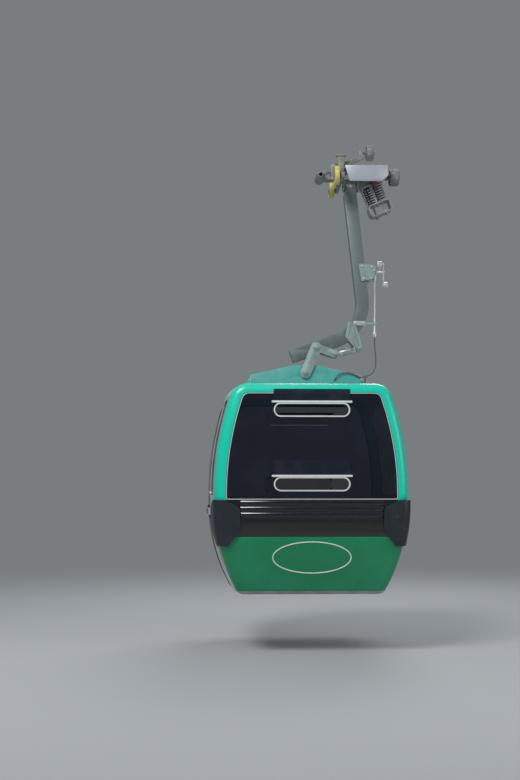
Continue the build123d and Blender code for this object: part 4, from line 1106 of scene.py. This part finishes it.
for end, out in (("front", -1), ("rear", 1)):
    inwards = (0, -out, 0)
    outer = rims("window_" + end, (0, out, 0))[0]
    raised = [point + Vector((0, out * FILLER_OUT, 0)) for point in outer]
    strand("window_filler_" + end, raised, FILLER_R, "cabin", "white_trim", closed=True)

    screws = open_piece("end_screws_" + end)
    for hand, side in (("left", -1), ("right", 1)):
        for z in BUMPER_SCREWS_Z:
            start = (CABIN_X + side * BUMPER_SCREW_X, out * END_RAY, z)
            point, normal = touch([f"bumper_{end}_{hand}"], start, inwards)
            dome_screw(point, normal, BUMPER_SCREW_R)
        for across in BELT_SCREWS_X:
            start = (CABIN_X + side * across, out * END_RAY, BELT_SCREW_Z)
            point, normal = touch(["belt_" + end], start, inwards)
            dome_screw(point, normal, BELT_SCREW_R)
    close_piece(screws, "cabin", "spring_black", bevel=0)

    border = []
    for step in range(OVAL_STEPS):
        angle = 2 * pi * step / OVAL_STEPS
        x = CABIN_X + OVAL_HALF[0] * cos(angle)
        z = OVAL_Z + OVAL_HALF[1] * sin(angle)
        border.append(touch(["lower_panel_" + end], (x, out * END_RAY, z), inwards)[0])
    strand("plate_rim_" + end, border, OVAL_RIM_R, "cabin", "white_trim", closed=True)

# %% [markdown]
# ## Fittings on the sides
# Each side pane sits in a black gasket, laid along the pane's own rim. Rubber edges close the gaps where
# the two door leaves meet and where they meet the walls. Each edge follows the curved side from floor
# to roof, so its points are found by rays at even heights.

# %% Side fittings
SIDE_RAY = -3  # where the rays start, left of the cabin
GASKET_R, SEAL_R = 0.007, 0.008
SEAL_STEP = 0.04
SEAL_END = 0.02  # how far a seal stops short of the door's ends
SEAL_BESIDE = 0.004  # a ray meets the skin this far beside the gap
SEAL_IN = 0.002  # middle of the bead, under the skin

for name, out in (("side_glass_left", LEFT), ("door_glass", LEFT), ("side_glass_right", RIGHT)):
    for count, loop in enumerate(rims(name, out)):
        strand(f"gasket_{name}_{count}", loop, GASKET_R, "cabin", "seal_rubber", closed=True)

left_skin = ["door_leaf_front", "door_leaf_rear", "side_wall_left_front", "side_wall_left_rear"]
door_low, door_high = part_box("door_leaf_front")
door_edges = {"front": door_low[1], "middle": door_high[1], "rear": -door_low[1]}
seal_steps = int((door_high[2] - door_low[2] - 2 * SEAL_END) / SEAL_STEP)
heights = [door_low[2] + SEAL_END + SEAL_STEP * count for count in range(seal_steps)]
for name, y in door_edges.items():
    line = []
    for z in heights:
        point, _ = touch(left_skin, (SIDE_RAY, y + SEAL_BESIDE, z), RIGHT)
        line.append((point[0] + SEAL_IN, y, z))
    strand("door_seal_" + name, line, SEAL_R, "cabin", "seal_rubber")

# %% [markdown]
# ## Inside and below
# Six moulded seats, a bottom shell and a back shell each, stand on the benches. A wide bevel turns each
# slab into a soft shell. The floor tray is held by screws all round.

# %% Seats and floor
SEAT_PITCH = 0.44
SEAT_Y = 0.60
SEAT_WIDTH, SEAT_DEPTH, BACK_HEIGHT = 0.40, 0.36, 0.32
SHELL = 0.024
SEAT_BEVEL = 0.011
BACK_LEAN = radians(4)
SEAT_RAY_Z, BACK_RAY_Z = -3.0, -3.50  # heights where the rays to the seat and to the back start
TRAY_SIDE_X, TRAY_SIDE_PITCH = 0.66, 0.34
TRAY_END_Y, TRAY_END_PITCH = 0.76, 0.30
TRAY_RAY_Z, TRAY_SCREW_R = -6, 0.009

for end, out in (("front", -1), ("rear", 1)):
    bench = ["bench_" + end]
    seats = open_piece("seats_" + end)
    for place in (-1, 0, 1):
        x = CABIN_X + place * SEAT_PITCH
        top, _ = touch(bench, (x, out * SEAT_Y, SEAT_RAY_Z), DOWN)
        slab(top + Vector((0, 0, SHELL / 2)), (SEAT_WIDTH, SEAT_DEPTH, SHELL))
        back, _ = touch(bench, (x, 0, BACK_RAY_Z), (0, out, 0))
        middle = back + Vector((0, -out * SHELL / 2, 0))
        slab(middle, (SEAT_WIDTH, SHELL, BACK_HEIGHT), (out * BACK_LEAN, 0, 0))
    close_piece(seats, "cabin", "bench_grey", bevel=SEAT_BEVEL, segments=4)

tray_screws = open_piece("tray_screws")
for side in (-1, 1):
    for step in (-2, -1, 0, 1, 2):
        on_side = (side * TRAY_SIDE_X, step * TRAY_SIDE_PITCH)
        on_end = (step * TRAY_END_PITCH, side * TRAY_END_Y)
        for x, y in (on_side, on_end):
            point, _ = touch(["floor_pan"], (CABIN_X + x, y, TRAY_RAY_Z), UP)
            dome_screw(point, DOWN, TRAY_SCREW_R)
close_piece(tray_screws, "cabin", "bright_steel", bevel=0)
